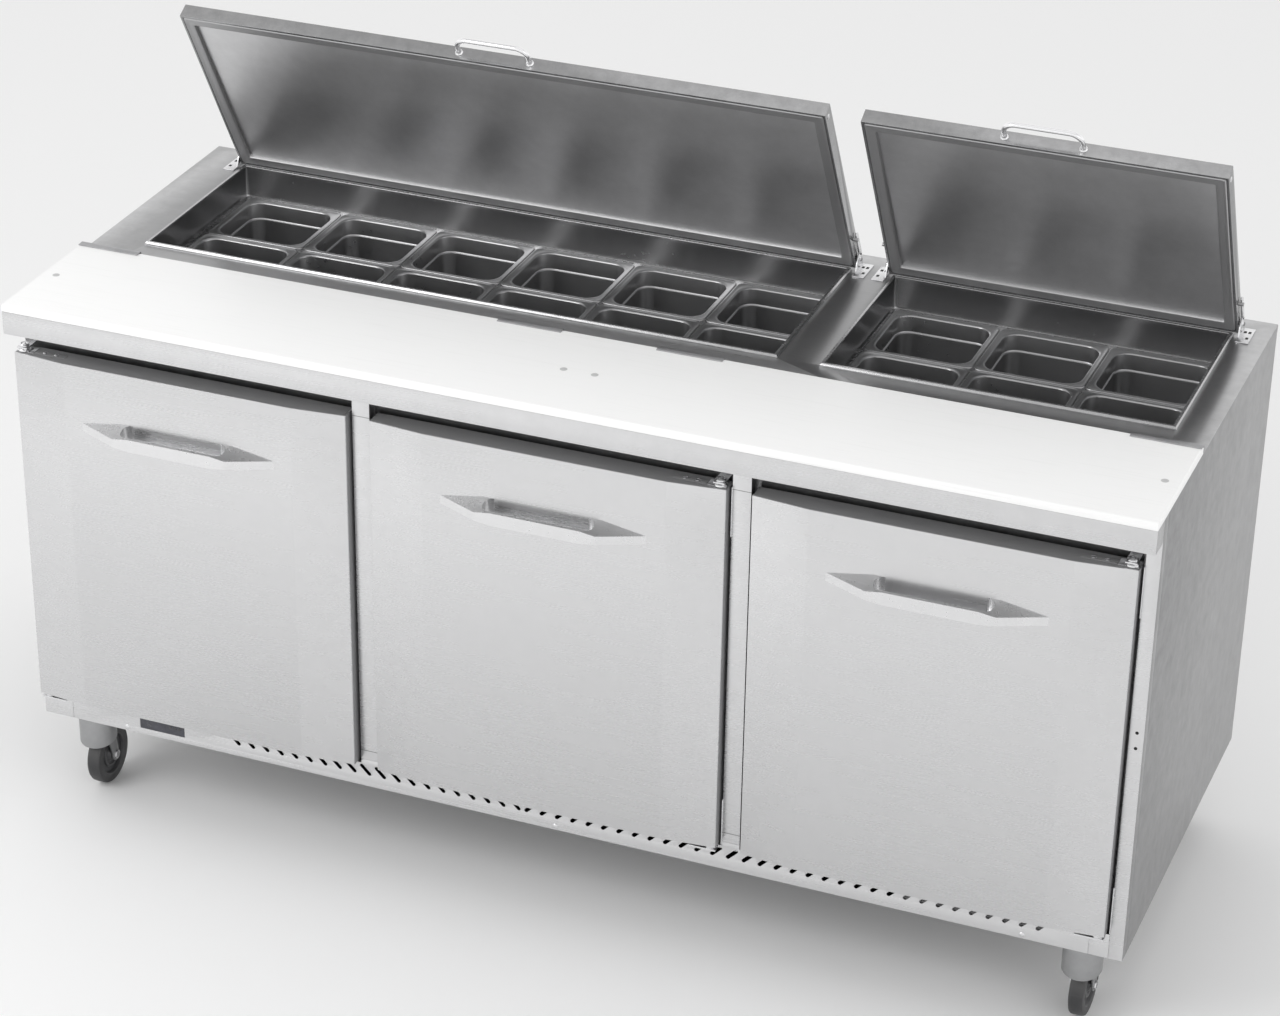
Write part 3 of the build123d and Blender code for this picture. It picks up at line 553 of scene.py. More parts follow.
def trace(points: Sequence[Point], closed: bool = False) -> bpy.types.Object:
    """A chain of edges through points, left in edit mode with all of it selected.

    Args:
        points: The corners in order, in metres.
        closed: Whether the last corner joins the first.

    Returns:
        The object being edited.
    """
    deselect()
    bpy.ops.mesh.primitive_plane_add(size=0.001, location=(0, 0, 0))
    piece = bpy.context.active_object
    bpy.ops.object.mode_set(mode="EDIT")
    bpy.ops.mesh.select_mode(type="VERT")
    bpy.ops.mesh.select_all(action="SELECT")
    bpy.ops.mesh.merge(type="CENTER")
    bpy.ops.transform.translate(value=points[0])
    for before, after in zip(points, points[1:]):
        step = tuple(b - a for a, b in zip(before, after))
        bpy.ops.mesh.extrude_region_move(TRANSFORM_OT_translate={"value": step})
    if closed:
        mesh = bmesh.from_edit_mesh(piece.data)
        mesh.verts.ensure_lookup_table()
        for index, vertex in enumerate(mesh.verts):
            vertex.select = index in (0, len(mesh.verts) - 1)
        mesh.select_flush_mode()
        bmesh.update_edit_mesh(piece.data)
        bpy.ops.mesh.edge_face_add()
    bpy.ops.mesh.select_all(action="SELECT")
    return piece


def turned(name: str, profile: Sequence[tuple[float, float]], centre: Point, way: Direction,
           steps: int = 48) -> bpy.types.Object:
    """A piece spun from a profile of (radius, place along the axis) pairs, in metres.

    Args:
        name: Piece name.
        profile: Pairs of radius and place along the axis, in metres.
        centre: Where the profile's zero stands.
        way: Axis of the spin.
        steps: Facets round the piece.

    Returns:
        The finished piece.
    """
    piece = trace([(r, 0.0, h) for r, h in profile])
    bpy.ops.mesh.spin(steps=steps, angle=2 * pi, center=(0, 0, 0), axis=(0, 0, 1))
    bpy.ops.mesh.select_all(action="SELECT")
    bpy.ops.mesh.remove_doubles(threshold=1e-6)
    bpy.ops.mesh.normals_make_consistent(inside=False)
    bpy.ops.object.mode_set(mode="OBJECT")
    piece.rotation_euler = Vector((0, 0, 1)).rotation_difference(Vector(way.value)).to_euler()
    piece.location = centre
    return settle(piece, name, 32)


def drawn_strip(name: str, profile: Sequence[tuple[float, float]], x0: float, x1: float, thickness: float,
                bevel: float = 0.0003) -> bpy.types.Object:
    """A bent strip: a profile of (y, z) pairs drawn out from x0 to x1 and given a thickness.

    Args:
        name: Piece name.
        profile: The strip's middle line as (y, z) pairs, in metres.
        x0: Where it starts.
        x1: Where it ends.
        thickness: Sheet thickness.
        bevel: Width of the rounded edges.

    Returns:
        The finished piece.
    """
    piece = trace([(x0, y, z) for y, z in profile])
    bpy.ops.mesh.extrude_region_move(TRANSFORM_OT_translate={"value": (x1 - x0, 0, 0)})
    bpy.ops.object.mode_set(mode="OBJECT")
    modify(piece, "SOLIDIFY", thickness=thickness, offset=0.0)
    fix_normals(piece)
    if bevel > 0:
        soften(piece, bevel, 2, 60)
    return settle(piece, name, 32)


def drawn_plate(name: str, outline: Sequence[tuple[float, float]], x0: float, x1: float,
                bevel: float = 0.0003) -> bpy.types.Object:
    """A flat plate: a closed outline of (y, z) pairs filled and drawn out from x0 to x1.

    Args:
        name: Piece name.
        outline: Corners as (y, z) pairs, in metres.
        x0: Where it starts.
        x1: Where it ends.
        bevel: Width of the rounded edges.

    Returns:
        The finished piece.
    """
    piece = trace([(x0, y, z) for y, z in outline], closed=True)
    bpy.ops.mesh.edge_face_add()
    bpy.ops.mesh.extrude_region_move(TRANSFORM_OT_translate={"value": (x1 - x0, 0, 0)})
    bpy.ops.object.mode_set(mode="OBJECT")
    fix_normals(piece)
    if bevel > 0:
        soften(piece, bevel, 2, 40)
    return settle(piece, name, 32)


def fix_normals(piece: bpy.types.Object) -> None:
    """Turn every face of a closed piece outwards."""
    pick(piece)
    bpy.ops.object.mode_set(mode="EDIT")
    bpy.ops.mesh.select_all(action="SELECT")
    bpy.ops.mesh.remove_doubles(threshold=1e-6)
    bpy.ops.mesh.normals_make_consistent(inside=False)
    bpy.ops.object.mode_set(mode="OBJECT")


@dataclass(frozen=True)
class Level:
    """One rounded rectangle of a pressed sheet: half sizes, corner radius and height, in mm."""

    half_x: float
    half_y: float
    radius: float
    z: float


def pressed_sheet(name: str, centre: tuple[float, float], levels: Sequence[Level], thickness: float,
                  floor: bool, corner_steps: int = 5) -> bpy.types.Object:
    """A sheet pressed through stacked rounded rectangles, then given a thickness away from its top.

    Args:
        name: Piece name.
        centre: Middle in X and Y, in metres.
        levels: The rectangles in order along the sheet.
        thickness: Sheet thickness in metres.
        floor: Whether the last level is filled.
        corner_steps: Segments of each corner.

    Returns:
        The finished piece.
    """
    deselect()
    bpy.ops.mesh.primitive_plane_add(size=1.0, location=(0, 0, 0))
    piece = bpy.context.active_object
    bpy.ops.object.mode_set(mode="EDIT")
    bpy.ops.mesh.select_mode(type="VERT")
    bpy.ops.mesh.select_all(action="SELECT")
    bpy.ops.mesh.delete(type="VERT")
    ring = 4 * (corner_steps + 1)
    for index, level in enumerate(levels):
        bpy.ops.mesh.select_all(action="DESELECT")
        bpy.ops.mesh.primitive_plane_add(size=2.0, location=(0, 0, 0))
        bpy.ops.transform.resize(value=(level.half_x * MM, level.half_y * MM, 1.0),
                                 center_override=(0, 0, 0))
        bpy.ops.transform.translate(value=(0, 0, level.z * MM))
        bpy.ops.mesh.bevel(affect="VERTICES", offset=level.radius * MM, segments=corner_steps,
                           offset_type="OFFSET")
        bpy.ops.mesh.delete(type="ONLY_FACE")
        if index:
            join_rings(piece, ring)
    if floor:
        mesh = bmesh.from_edit_mesh(piece.data)
        last = len(mesh.verts)
        for vertex in mesh.verts:
            vertex.select = vertex.index >= last - ring
        mesh.select_flush(True)
        bmesh.update_edit_mesh(piece.data)
        bpy.ops.mesh.edge_face_add()
    bpy.ops.mesh.select_all(action="SELECT")
    bpy.ops.mesh.normals_make_consistent(inside=False)
    mesh = bmesh.from_edit_mesh(piece.data)
    lowest = min(mesh.faces, key=lambda face: face.calc_center_median().z)
    flat = max(mesh.faces, key=lambda face: abs(face.normal.z) * face.calc_area())
    if (flat if floor else lowest).normal.z < 0 and abs(flat.normal.z) > 0.5:
        bpy.ops.mesh.flip_normals()
    bpy.ops.object.mode_set(mode="OBJECT")
    modify(piece, "SOLIDIFY", thickness=thickness, offset=-1.0)
    piece.location = (centre[0], centre[1], 0)
    return settle(piece, name, 38)


def join_rings(piece: bpy.types.Object, ring: int) -> None:
    """Fill between the last two rings of a sheet, corner by corner, so no face crosses another."""
    mesh = bmesh.from_edit_mesh(piece.data)
    last = len(mesh.verts) - ring
    fresh = [tuple(v.index for v in edge.verts) for edge in mesh.edges
             if all(v.index >= last for v in edge.verts)]
    for first, second in fresh:
        bpy.ops.mesh.select_all(action="DESELECT")
        mesh = bmesh.from_edit_mesh(piece.data)
        mesh.verts.ensure_lookup_table()
        for index in (first, second, first - ring, second - ring):
            mesh.verts[index].select_set(True)
        bmesh.update_edit_mesh(piece.data)
        bpy.ops.mesh.edge_face_add()


def refined(node: str, name: str, bevel: float, angle: float = 28.0, segments: int = 2,
            smooth: float = 32.0) -> bpy.types.Object:
    """A welded copy of a CAD node with its sharp edges rounded, for thin sheet and castings.

    Args:
        node: CAD node that is copied.
        name: Piece name.
        bevel: Width of the rounded edges.
        angle: Smallest bend that counts as an edge, in degrees.
        segments: Steps of the rounding.
        smooth: Largest bend shaded smooth, in degrees.

    Returns:
        The finished piece.
    """
    source = frame["nodes"][node]
    piece = source.copy()
    piece.data = source.data.copy()
    for key in list(piece.keys()):
        del piece[key]
    piece.parent = None
    piece.matrix_world = Matrix.Identity(4)
    bpy.context.scene.collection.objects.link(piece)
    piece.hide_render = False
    piece.hide_viewport = False
    pick(piece)
    bpy.ops.object.mode_set(mode="EDIT")
    bpy.ops.mesh.select_all(action="SELECT")
    bpy.ops.mesh.remove_doubles(threshold=1e-5)
    bpy.ops.mesh.dissolve_limited(angle_limit=radians(0.5))
    bpy.ops.object.mode_set(mode="OBJECT")
    if bevel > 0:
        soften(piece, bevel, segments, angle)
    return settle(piece, name, smooth)


def dress(piece: bpy.types.Object, finish: Finish, body: str,
          stands_for: Sequence[str] = ()) -> bpy.types.Object:
    """Give a piece its finish, body, record slot and the CAD nodes it stands for.

    Args:
        piece: The piece.
        finish: Its finish.
        body: Body it rides on.
        stands_for: CAD nodes it replaces.

    Returns:
        The same piece.
    """
    piece.data.materials.clear()
    piece.data.materials.append(finish.material())
    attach(piece, body)
    if stands_for:
        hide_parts(*stands_for)
    log.info("%s rides on %s, %d faces", piece.name, body, len(piece.data.polygons))
    return piece


def recolour(node: str, finish: Finish) -> None:
    """Give a CAD node that is shown as it is a better finish."""
    target = frame["nodes"][node]
    for index in range(max(1, len(target.material_slots))):
        if index < len(target.material_slots):
            target.material_slots[index].material = finish.material()
        else:
            target.data.materials.append(finish.material())


def twin(piece: bpy.types.Object, name: str, shift: Point) -> bpy.types.Object:
    """A copy with its own mesh, moved by a shift that goes into the mesh."""
    deselect()
    copy = piece.copy()
    copy.data = piece.data.copy()
    copy.parent = None
    for key in list(copy.keys()):
        del copy[key]
    bpy.context.scene.collection.objects.link(copy)
    copy.matrix_world = Matrix.Translation(shift)
    return settle(copy, name)


def join(pieces: Sequence[bpy.types.Object], name: str) -> bpy.types.Object:
    """Join several pieces of one finish into one mesh."""
    deselect()
    for piece in pieces:
        piece.select_set(True)
    bpy.context.view_layer.objects.active = pieces[0]
    bpy.ops.object.join()
    joined = bpy.context.active_object
    joined.name = name
    joined.data.name = name
    return joined


def tilt_open(piece: bpy.types.Object, pivot: tuple[float, float]) -> bpy.types.Object:
    """Turn a piece made at the closed lid's place to the open place, about the pivot (y, z)."""
    centre = Vector((0, pivot[0], pivot[1]))
    piece.matrix_world = (Matrix.Translation(centre) @ Matrix.Rotation(-LID_TILT, 4, "X")
                          @ Matrix.Translation(-centre))
    return settle(piece, piece.name)


def middle_of(node: str) -> tuple[float, float, float]:
    """Middle of a CAD node's box."""
    low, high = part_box(node)
    return tuple((low + high) / 2)


def joint_place(name: str) -> Vector:
    """Where a joint's axis stands, from the record."""
    found = next(j for j in frame["joints"] if j["name"] == name)
    return Vector(found["pos_m"])


# ---- sub-assemblies -------------------------------------------------------------------------------------


@dataclass
class Case:
    """Outer case, grille, seams, screws and the small holes in the right stile."""

    edge_round: float = 0.0006
    seam: float = 0.0007
    hole_radius: float = 0.0026
    door_gap: float = 0.006
    seam_levels: Span = (0.8155, 0.2205)
    panel_screw_xs: tuple[float, ...] = (-0.762, 0.001, 0.760)
    panel_screw_z: float = 0.1605
    hole_inset: float = 0.0105
    hole_levels: Span = (0.550, 0.524)
    corner_top: float = 0.1965
    filter_ends: Span = (-0.57, 0.82)
    filter_low: float = 0.170
    filter_depths: Span = (0.0062, 0.0074)
    pleat: float = 0.0025
    back_seam_levels: Span = (0.175, 0.86)
    back_screw_xs: tuple[float, ...] = (-0.87, -0.58, -0.29, 0.0, 0.29, 0.58, 0.87)
    back_screw_levels: Span = (0.167, 0.868)

    def build(self) -> None:
        """Make the case's pieces."""
        # The case shell takes the darker steel colour, painted shade on its sides.
        dress(refined("outer_case", "case_shell", self.edge_round), SHADED_SIDE_STEEL, "table",
              ["outer_case"])
        # The grille takes the lighter steel colour, painted light on the front.
        dress(refined("grille_panel", "grille_front", 0.0003), LIT_FRONT_STEEL, "table",
              ["grille_panel"])
        self._front_skins()
        self._filter()
        self._seams()
        self._screws()
        self._back()

    def _front_skins(self) -> None:
        """Thin skins on the posts and the stile in the lighter steel colour, painted light on the front
        faces.
        """
        low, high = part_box("outer_case")
        doors = [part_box(f"door_{side}_panel") for side in ("left", "middle", "right")]
        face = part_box("grille_panel")[0].y
        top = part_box("countertop")[0].z
        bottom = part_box("grille_panel")[1].z
        gap = self.door_gap
        spans = [(doors[0][1].x + gap, doors[1][0].x - gap), (doors[1][1].x + gap, doors[2][0].x - gap),
                 (doors[2][1].x + gap, high.x)]
        for index, (x0, x1) in enumerate(spans):
            base = bottom + 0.0004 if index < 2 else low.z
            skin = slab(f"post_painted_lit_skin_{index + 1}", (x0, face - 0.0002, base),
                        (x1, face + 0.0008, top + 0.0015), 0.0002)
            dress(skin, LIT_FRONT_STEEL, "table")
        panel_low, panel_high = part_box("grille_panel")
        corners = [(low.x, panel_low.x - 0.0003), (panel_high.x + 0.0003, spans[2][0] - 0.0003)]
        for index, (x0, x1) in enumerate(corners):
            skin = slab(f"corner_painted_lit_skin_{index + 1}", (x0, face - 0.0002, low.z),
                        (x1, face + 0.0008, self.corner_top), 0.0002)
            dress(skin, LIT_FRONT_STEEL, "table")

    def _filter(self) -> None:
        """Pleated air filter behind the slots of the bottom panel."""
        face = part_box("grille_panel")[0].y
        near, far = self.filter_depths
        pleats = [(face + (near if n % 2 else far), self.filter_low + n * self.pleat) for n in range(11)]
        plate = drawn_strip("air_filter", pleats, *self.filter_ends, 0.0006, 0.0)
        dress(plate, FILTER_MESH, "table")

    def _seams(self) -> None:
        """Hairline joints between post, top rail and bottom panel."""
        doors = [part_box(f"door_{side}_panel") for side in ("left", "middle", "right")]
        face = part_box("grille_panel")[0].y
        lines = []
        for index in range(2):
            x0, x1 = doors[index][1].x + self.door_gap, doors[index + 1][0].x - self.door_gap
            for number, z in enumerate(self.seam_levels):
                lines.append(slab(f"seam_{index}_{number}", (x0, face - 0.0004, z),
                                  (x1, face + 0.0005, z + self.seam), 0.0))
        dress(join(lines, "post_seams"), SEAM_DARK, "table")

    def _screws(self) -> None:
        """Panel screws along the bottom edge, and the pilot holes in the right stile as flat near-black
        discs of painted shade.
        """
        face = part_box("grille_panel")[0].y
        heads = []
        for x in self.panel_screw_xs:
            heads.append(turned("head", [(0.0, 0.0017), (0.0016, 0.0016), (0.0032, 0.0011), (0.0042, 0.0002),
                                         (0.0042, -0.0004)], (x, face, self.panel_screw_z), Direction.Y, 24))
        for head in heads:
            pick(head)
            head.matrix_world = (Matrix.Translation((0, 2 * face, 0)) @ Matrix.Scale(-1, 4, (0, 1, 0)))
            settle(head, head.name)
            fix_normals(head)
        dress(join(heads, "panel_screws"), BRACKET_STEEL, "table")
        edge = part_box("outer_case")[1].x
        # Each pilot hole is a flat near-black disc, painted shade.
        holes = [rod("hole", (edge - self.hole_inset, face - 0.00005, z), self.hole_radius, 0.0008,
                     Direction.Y, 0.0)
                 for z in self.hole_levels]
        dress(join(holes, "stile_holes"), PAINTED_SHADE_BLACK, "table")

    def _back(self) -> None:
        """Back panel's border seam and its screws."""
        low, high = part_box("outer_case")
        back = high.y
        lines = [slab("line", (low.x + 0.03, back - 0.0004, z),
                      (high.x - 0.03, back + 0.0003, z + self.seam), 0.0)
                 for z in self.back_seam_levels]
        dress(join(lines, "back_seams"), SEAM_DARK, "table")
        heads = []
        for x in self.back_screw_xs:
            for z in self.back_screw_levels:
                heads.append(turned("head", [(0.0, 0.0014), (0.003, 0.0011), (0.0044, 0.0002),
                                             (0.0044, -0.0003)],
                                    (x, back, z), Direction.Y, 16))
        dress(join(heads, "back_screws"), BRACKET_STEEL, "table")


@dataclass
class Counter:
    """Counter top, well surrounds, divider bars, cutting board and its clips."""

    rim_width: float = 7.0
    wall_thickness: float = 0.0012
    clip_thickness: float = 0.0015
    plug_radius: float = 0.0058

    def build(self) -> None:
        """Make the counter's pieces."""
        # The counter sheet takes the darker steel colour, painted shade on its top.
        dress(refined("countertop", "counter_sheet", 0.0007), SHADED_TOP_STEEL, "table",
              ["countertop"])
        self._apron()
        self._wells()
        self._bars()
        self._board()
        self._clips()

    def _apron(self) -> None:
        """The apron's front face takes the lighter steel colour, painted light over the same steel as the
        counter top.
        """
        low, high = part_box("countertop")
        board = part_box("cutting_board")
        skin = slab("apron_painted_lit_skin", (low.x + 0.0001, low.y - 0.0002, low.z + 0.0001),
                    (high.x - 0.0001, low.y + 0.0005, board[0].z - 0.0001), 0.0002)
        dress(skin, LIT_FRONT_STEEL, "table")

    def _wells(self) -> None:
        """One pressed surround per well: raised rim, wall, ledge and its turned-down lip."""
        low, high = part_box("well_liners")
        long_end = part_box("pan_long_front_6")[1].x + 0.0015
        short_start = high.x - self.rim_width * MM * 2 - 0.533
        spans = [(low.x, long_end + self.rim_width * MM), (short_start, high.x)]
        for index, (x0, x1) in enumerate(spans):
            half_x = (x1 - x0) / 2 / MM
            half_y = (high.y - low.y) / 2 / MM
            top = high.z / MM
            inner_x, inner_y = half_x - self.rim_width, half_y - self.rim_width
            ledge = 850.0
            levels = [
                Level(half_x, half_y, 0.6, top - 5.0), Level(half_x, half_y, 0.6, top - 3.2),
                Level(half_x - 0.5, half_y - 0.5, 0.6, top - 2.2),
                Level(half_x - 2.2, half_y - 2.2, 0.6, top),
                Level(inner_x + 0.9, inner_y + 0.9, 0.6, top), Level(inner_x, inner_y, 0.8, top - 1.0),
                Level(inner_x, inner_y, 3.0, top - 8.0), Level(inner_x, inner_y, 6.0, ledge + 5.0),
                Level(inner_x - 1.2, inner_y - 1.2, 6.0, ledge + 1.2),
                Level(inner_x - 4.0, inner_y - 4.0, 5.0, ledge),
                Level(inner_x - 9.6, inner_y - 9.6, 4.0, ledge),
                Level(inner_x - 10.3, inner_y - 10.3, 4.0, ledge - 1.0),
                Level(inner_x - 10.4, inner_y - 10.4, 4.0, ledge - 14.0),
            ]
            label = ("long", "short")[index]
            piece = pressed_sheet(f"well_{label}_surround", ((x0 + x1) / 2, (low.y + high.y) / 2), levels,
                                  self.wall_thickness, floor=False)
            dress(piece, WELL_STEEL, "table", ["well_liners"] if index == 0 else ())

    def _bars(self) -> None:
        """Divider bars, one bevelled slab at each seam between pan columns."""
        low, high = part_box("pan_divider_bars")
        columns = [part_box(f"pan_long_front_{n}") for n in range(1, 7)]
        columns += [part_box(f"pan_short_front_{n}") for n in range(1, 4)]
        seams = sorted({round(b[0].x - 0.0005, 4) for b in columns} | {round(b[1].x + 0.0005, 4)
                                                                       for b in columns})
        pieces = []
        for x in seams:
            x0, x1 = x - 0.0075, x + 0.0075
            if abs(x - columns[5][1].x) < 0.002 or abs(x - columns[8][1].x) < 0.002:
                x1 = x + 0.0006
            pieces.append(slab("bar", (x0, low.y + 0.0004, low.z), (x1, high.y - 0.0004, high.z - 0.0001),
                               0.0005))
        dress(join(pieces, "divider_bars"), WELL_STEEL, "table", ["pan_divider_bars"])

    def _board(self) -> None:
        """The board with eased edges, and its four flush plugs."""
        dress(refined("cutting_board", "work_board", 0.0005, 20, 3), BOARD_PLASTIC, "board",
              ["cutting_board"])
        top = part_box("cutting_board")[1].z
        plugs = [turned("plug", [(0.0, 0.0004), (self.plug_radius * 0.75, 0.0004),
                                 (self.plug_radius, 0.0001),
                                 (self.plug_radius, -0.002)], (x, -0.230, top), Direction.Z, 32)
                 for x in (-0.890, -0.025, 0.025, 0.890)]
        dress(join(plugs, "board_plugs"), PLUG_PLASTIC, "board")

    def _clips(self) -> None:
        """Clips: foot on the counter, riser, a lip over the board and a curved rear flange."""
        low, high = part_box("board_clips")
        board_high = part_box("cutting_board")[1]
        top = board_high.z
        rear = board_high.y
        width = 0.106
        edge = board_high.x
        profile = [(low.y + 0.0004, top + 0.0009), (rear - 0.0030, top + 0.0009),
                   (rear + 0.0006, top + 0.0012),
                   (rear + 0.0024, top + 0.0004), (rear + 0.0030, top - 0.0025),
                   (rear + 0.0030, low.z + 0.0035),
                   (rear + 0.0040, low.z + 0.0014), (rear + 0.0062, low.z + 0.0008),
                   (high.y - 0.0006, low.z + 0.0008)]
        for index, x in enumerate((-edge + width / 2, -0.131, 0.131, edge - width / 2)):
            strip = drawn_strip(f"board_clip_{index + 1}", profile, x - width / 2, x + width / 2,
                                self.clip_thickness)
            dress(strip, CLIP_STEEL, "table", ["board_clips"] if index == 0 else ())


@dataclass
class FoodPans:
    """Eighteen equal pans, pressed once and copied."""

    thickness: float = 0.0008

    def build(self) -> None:
        """Press the first pan, then copy it to every other place."""
        first = None
        for name in sorted(n for n in frame["nodes"] if n.startswith("pan_") and n[-1].isdigit()):
            x, y, _ = middle_of(name)
            if first is None:
                first = pressed_sheet(f"{name}_pressed", (x, y), self._levels(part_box(name)[1].z / MM),
                                      self.thickness, floor=True, corner_steps=7)
                place, piece = (x, y), first
            else:
                piece = twin(first, f"{name}_pressed", (x - place[0], y - place[1], 0.0))
            dress(piece, PAN_STEEL, name, [name])

    @staticmethod
    def _levels(top: float) -> list[Level]:
        """Levels of the pan from its hemmed rim down to the floor."""
        rows = [(87.5, 80.5, 12.0, -3.0), (87.5, 80.5, 12.0, -1.2), (86.9, 79.9, 11.6, -0.3),
                (85.9, 78.9, 11.0, 0.0),
                (84.6, 77.6, 11.0, -0.3), (83.6, 76.6, 12.0, -1.0), (80.6, 73.6, 25.0, -1.0),
                (78.6, 71.6, 26.5, -1.3),
                (77.4, 70.4, 26.0, -2.3), (76.9, 69.9, 25.8, -4.0), (76.2, 69.2, 25.2, -27.5),
                (75.9, 68.9, 25.0, -29.0),
                (74.9, 67.9, 24.0, -30.0), (73.9, 66.9, 23.3, -30.6), (73.5, 66.5, 23.0, -32.5),
                (70.2, 63.2, 20.0, -90.0), (68.9, 61.9, 19.0, -95.0), (65.8, 58.8, 16.0, -98.0),
                (60.5, 53.5, 12.0, -99.1)]
        return [Level(x, y, r, top + z) for x, y, r, z in rows]


@dataclass
class Lid:
    """One lid: cover, inner frame and panel, handle and pins; modelled closed, then turned open."""

    label: str
    frame_inset: float = 4.6
    rivet_radius: float = 0.0045

    def build(self) -> None:
        """Make the lid's pieces."""
        body = f"lid_{self.label}"
        cover = refined(f"{body}_cover", f"{body}_shell", 0.0005, 35)
        dress(cover, LID_STEEL, body, [f"{body}_cover"])
        low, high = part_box(f"{body}_liner")
        self.pivot = (joint_place(f"{body}_hinge").y, joint_place(f"{body}_hinge").z)
        centre_x = (low.x + high.x) / 2
        half_x = (high.x - low.x) / 2 / MM + 1.8
        half_y = 377.0 / 2
        rear = self.pivot[0] + 0.009
        centre = (centre_x, rear - half_y * MM)
        base = self.pivot[1] / MM - 12.0
        self._inner(body, centre, half_x, half_y, base)
        self._handle(body, centre_x, rear - 0.377, base * MM + 0.0125)
        self._rivets(body, centre_x, half_x * MM, rear - 0.377, base * MM)

    def _inner(self, body: str, centre: tuple[float, float], half_x: float, half_y: float,
               base: float) -> None:
        """Moulded frame round the opening side, and the flat panel inside it."""
        a = self.frame_inset
        rows = [(a, 3.2, 3.0), (a + 0.3, 1.0, 3.0), (a + 1.6, 0.2, 3.0), (a + 4.0, 0.7, 3.0),
                (a + 8.5, 1.1, 3.0),
                (a + 13.0, 0.8, 3.0), (a + 15.0, 1.4, 3.0), (a + 16.0, 3.0, 3.0), (a + 16.2, 6.6, 3.0),
                (a + 16.2, 9.0, 3.0)]
        levels = [Level(half_x - inset, half_y - inset, radius, base + up) for inset, up, radius in rows]
        ring = pressed_sheet(f"{body}_inner_frame", centre, levels, 0.0008, floor=False, corner_steps=3)
        tilt_open(ring, self.pivot)
        dress(ring, LID_FRAME, body, [f"{body}_liner"])
        inset = a + 16.0
        flat = slab(f"{body}_inner_panel",
                    (centre[0] - (half_x - inset) * MM, centre[1] - (half_y - inset) * MM,
                     (base + 5.6) * MM),
                    (centre[0] + (half_x - inset) * MM, centre[1] + (half_y - inset) * MM,
                     (base + 8.4) * MM), 0.0012, 3)
        tilt_open(flat, self.pivot)
        dress(flat, LID_PANEL, body)

    def _handle(self, body: str, x: float, y: float, z: float) -> None:
        """The rod handle is the CAD sweep with smooth shading, seated on two small collars."""
        loop = refined(f"{body}_handle", f"{body}_grip", 0.0)
        dress(loop, CHROME, body, [f"{body}_handle"])
        collars = []
        for side in (-1, 1):
            collar = turned("collar", [(0.0042, 0.0), (0.0062, 0.0002), (0.0066, 0.0010), (0.0058, 0.0022),
                                       (0.0043, 0.0028), (0.0042, 0.0)], (0, 0, 0), Direction.Y, 28)
            collar.matrix_world = Matrix.Translation((x + side * 0.060, y, z)) @ Matrix.Rotation(pi, 4, "Z")
            collars.append(tilt_open(settle(collar, "collar"), self.pivot))
        dress(join(collars, f"{body}_grip_collars"), CHROME, body)

    def _rivets(self, body: str, x: float, half: float, y: float, z: float) -> None:
        """A small domed rivet near the front end of each end skirt."""
        rivets = []
        for side in (-1, 1):
            rivet = turned("rivet", [(0.0, 0.0014), (0.0020, 0.0012), (0.0038, 0.0006),
                                     (self.rivet_radius, 0.0),
                                     (self.rivet_radius, -0.0004)], (0, 0, 0), Direction.X, 24)
            spin = Matrix.Rotation(pi, 4, "Z") if side < 0 else Matrix.Identity(4)
            rivet.matrix_world = Matrix.Translation((x + side * half, y + 0.014, z + 0.010)) @ spin
            rivets.append(tilt_open(settle(rivet, "rivet"), self.pivot))
        dress(join(rivets, f"{body}_rivets"), BRACKET_STEEL, body)


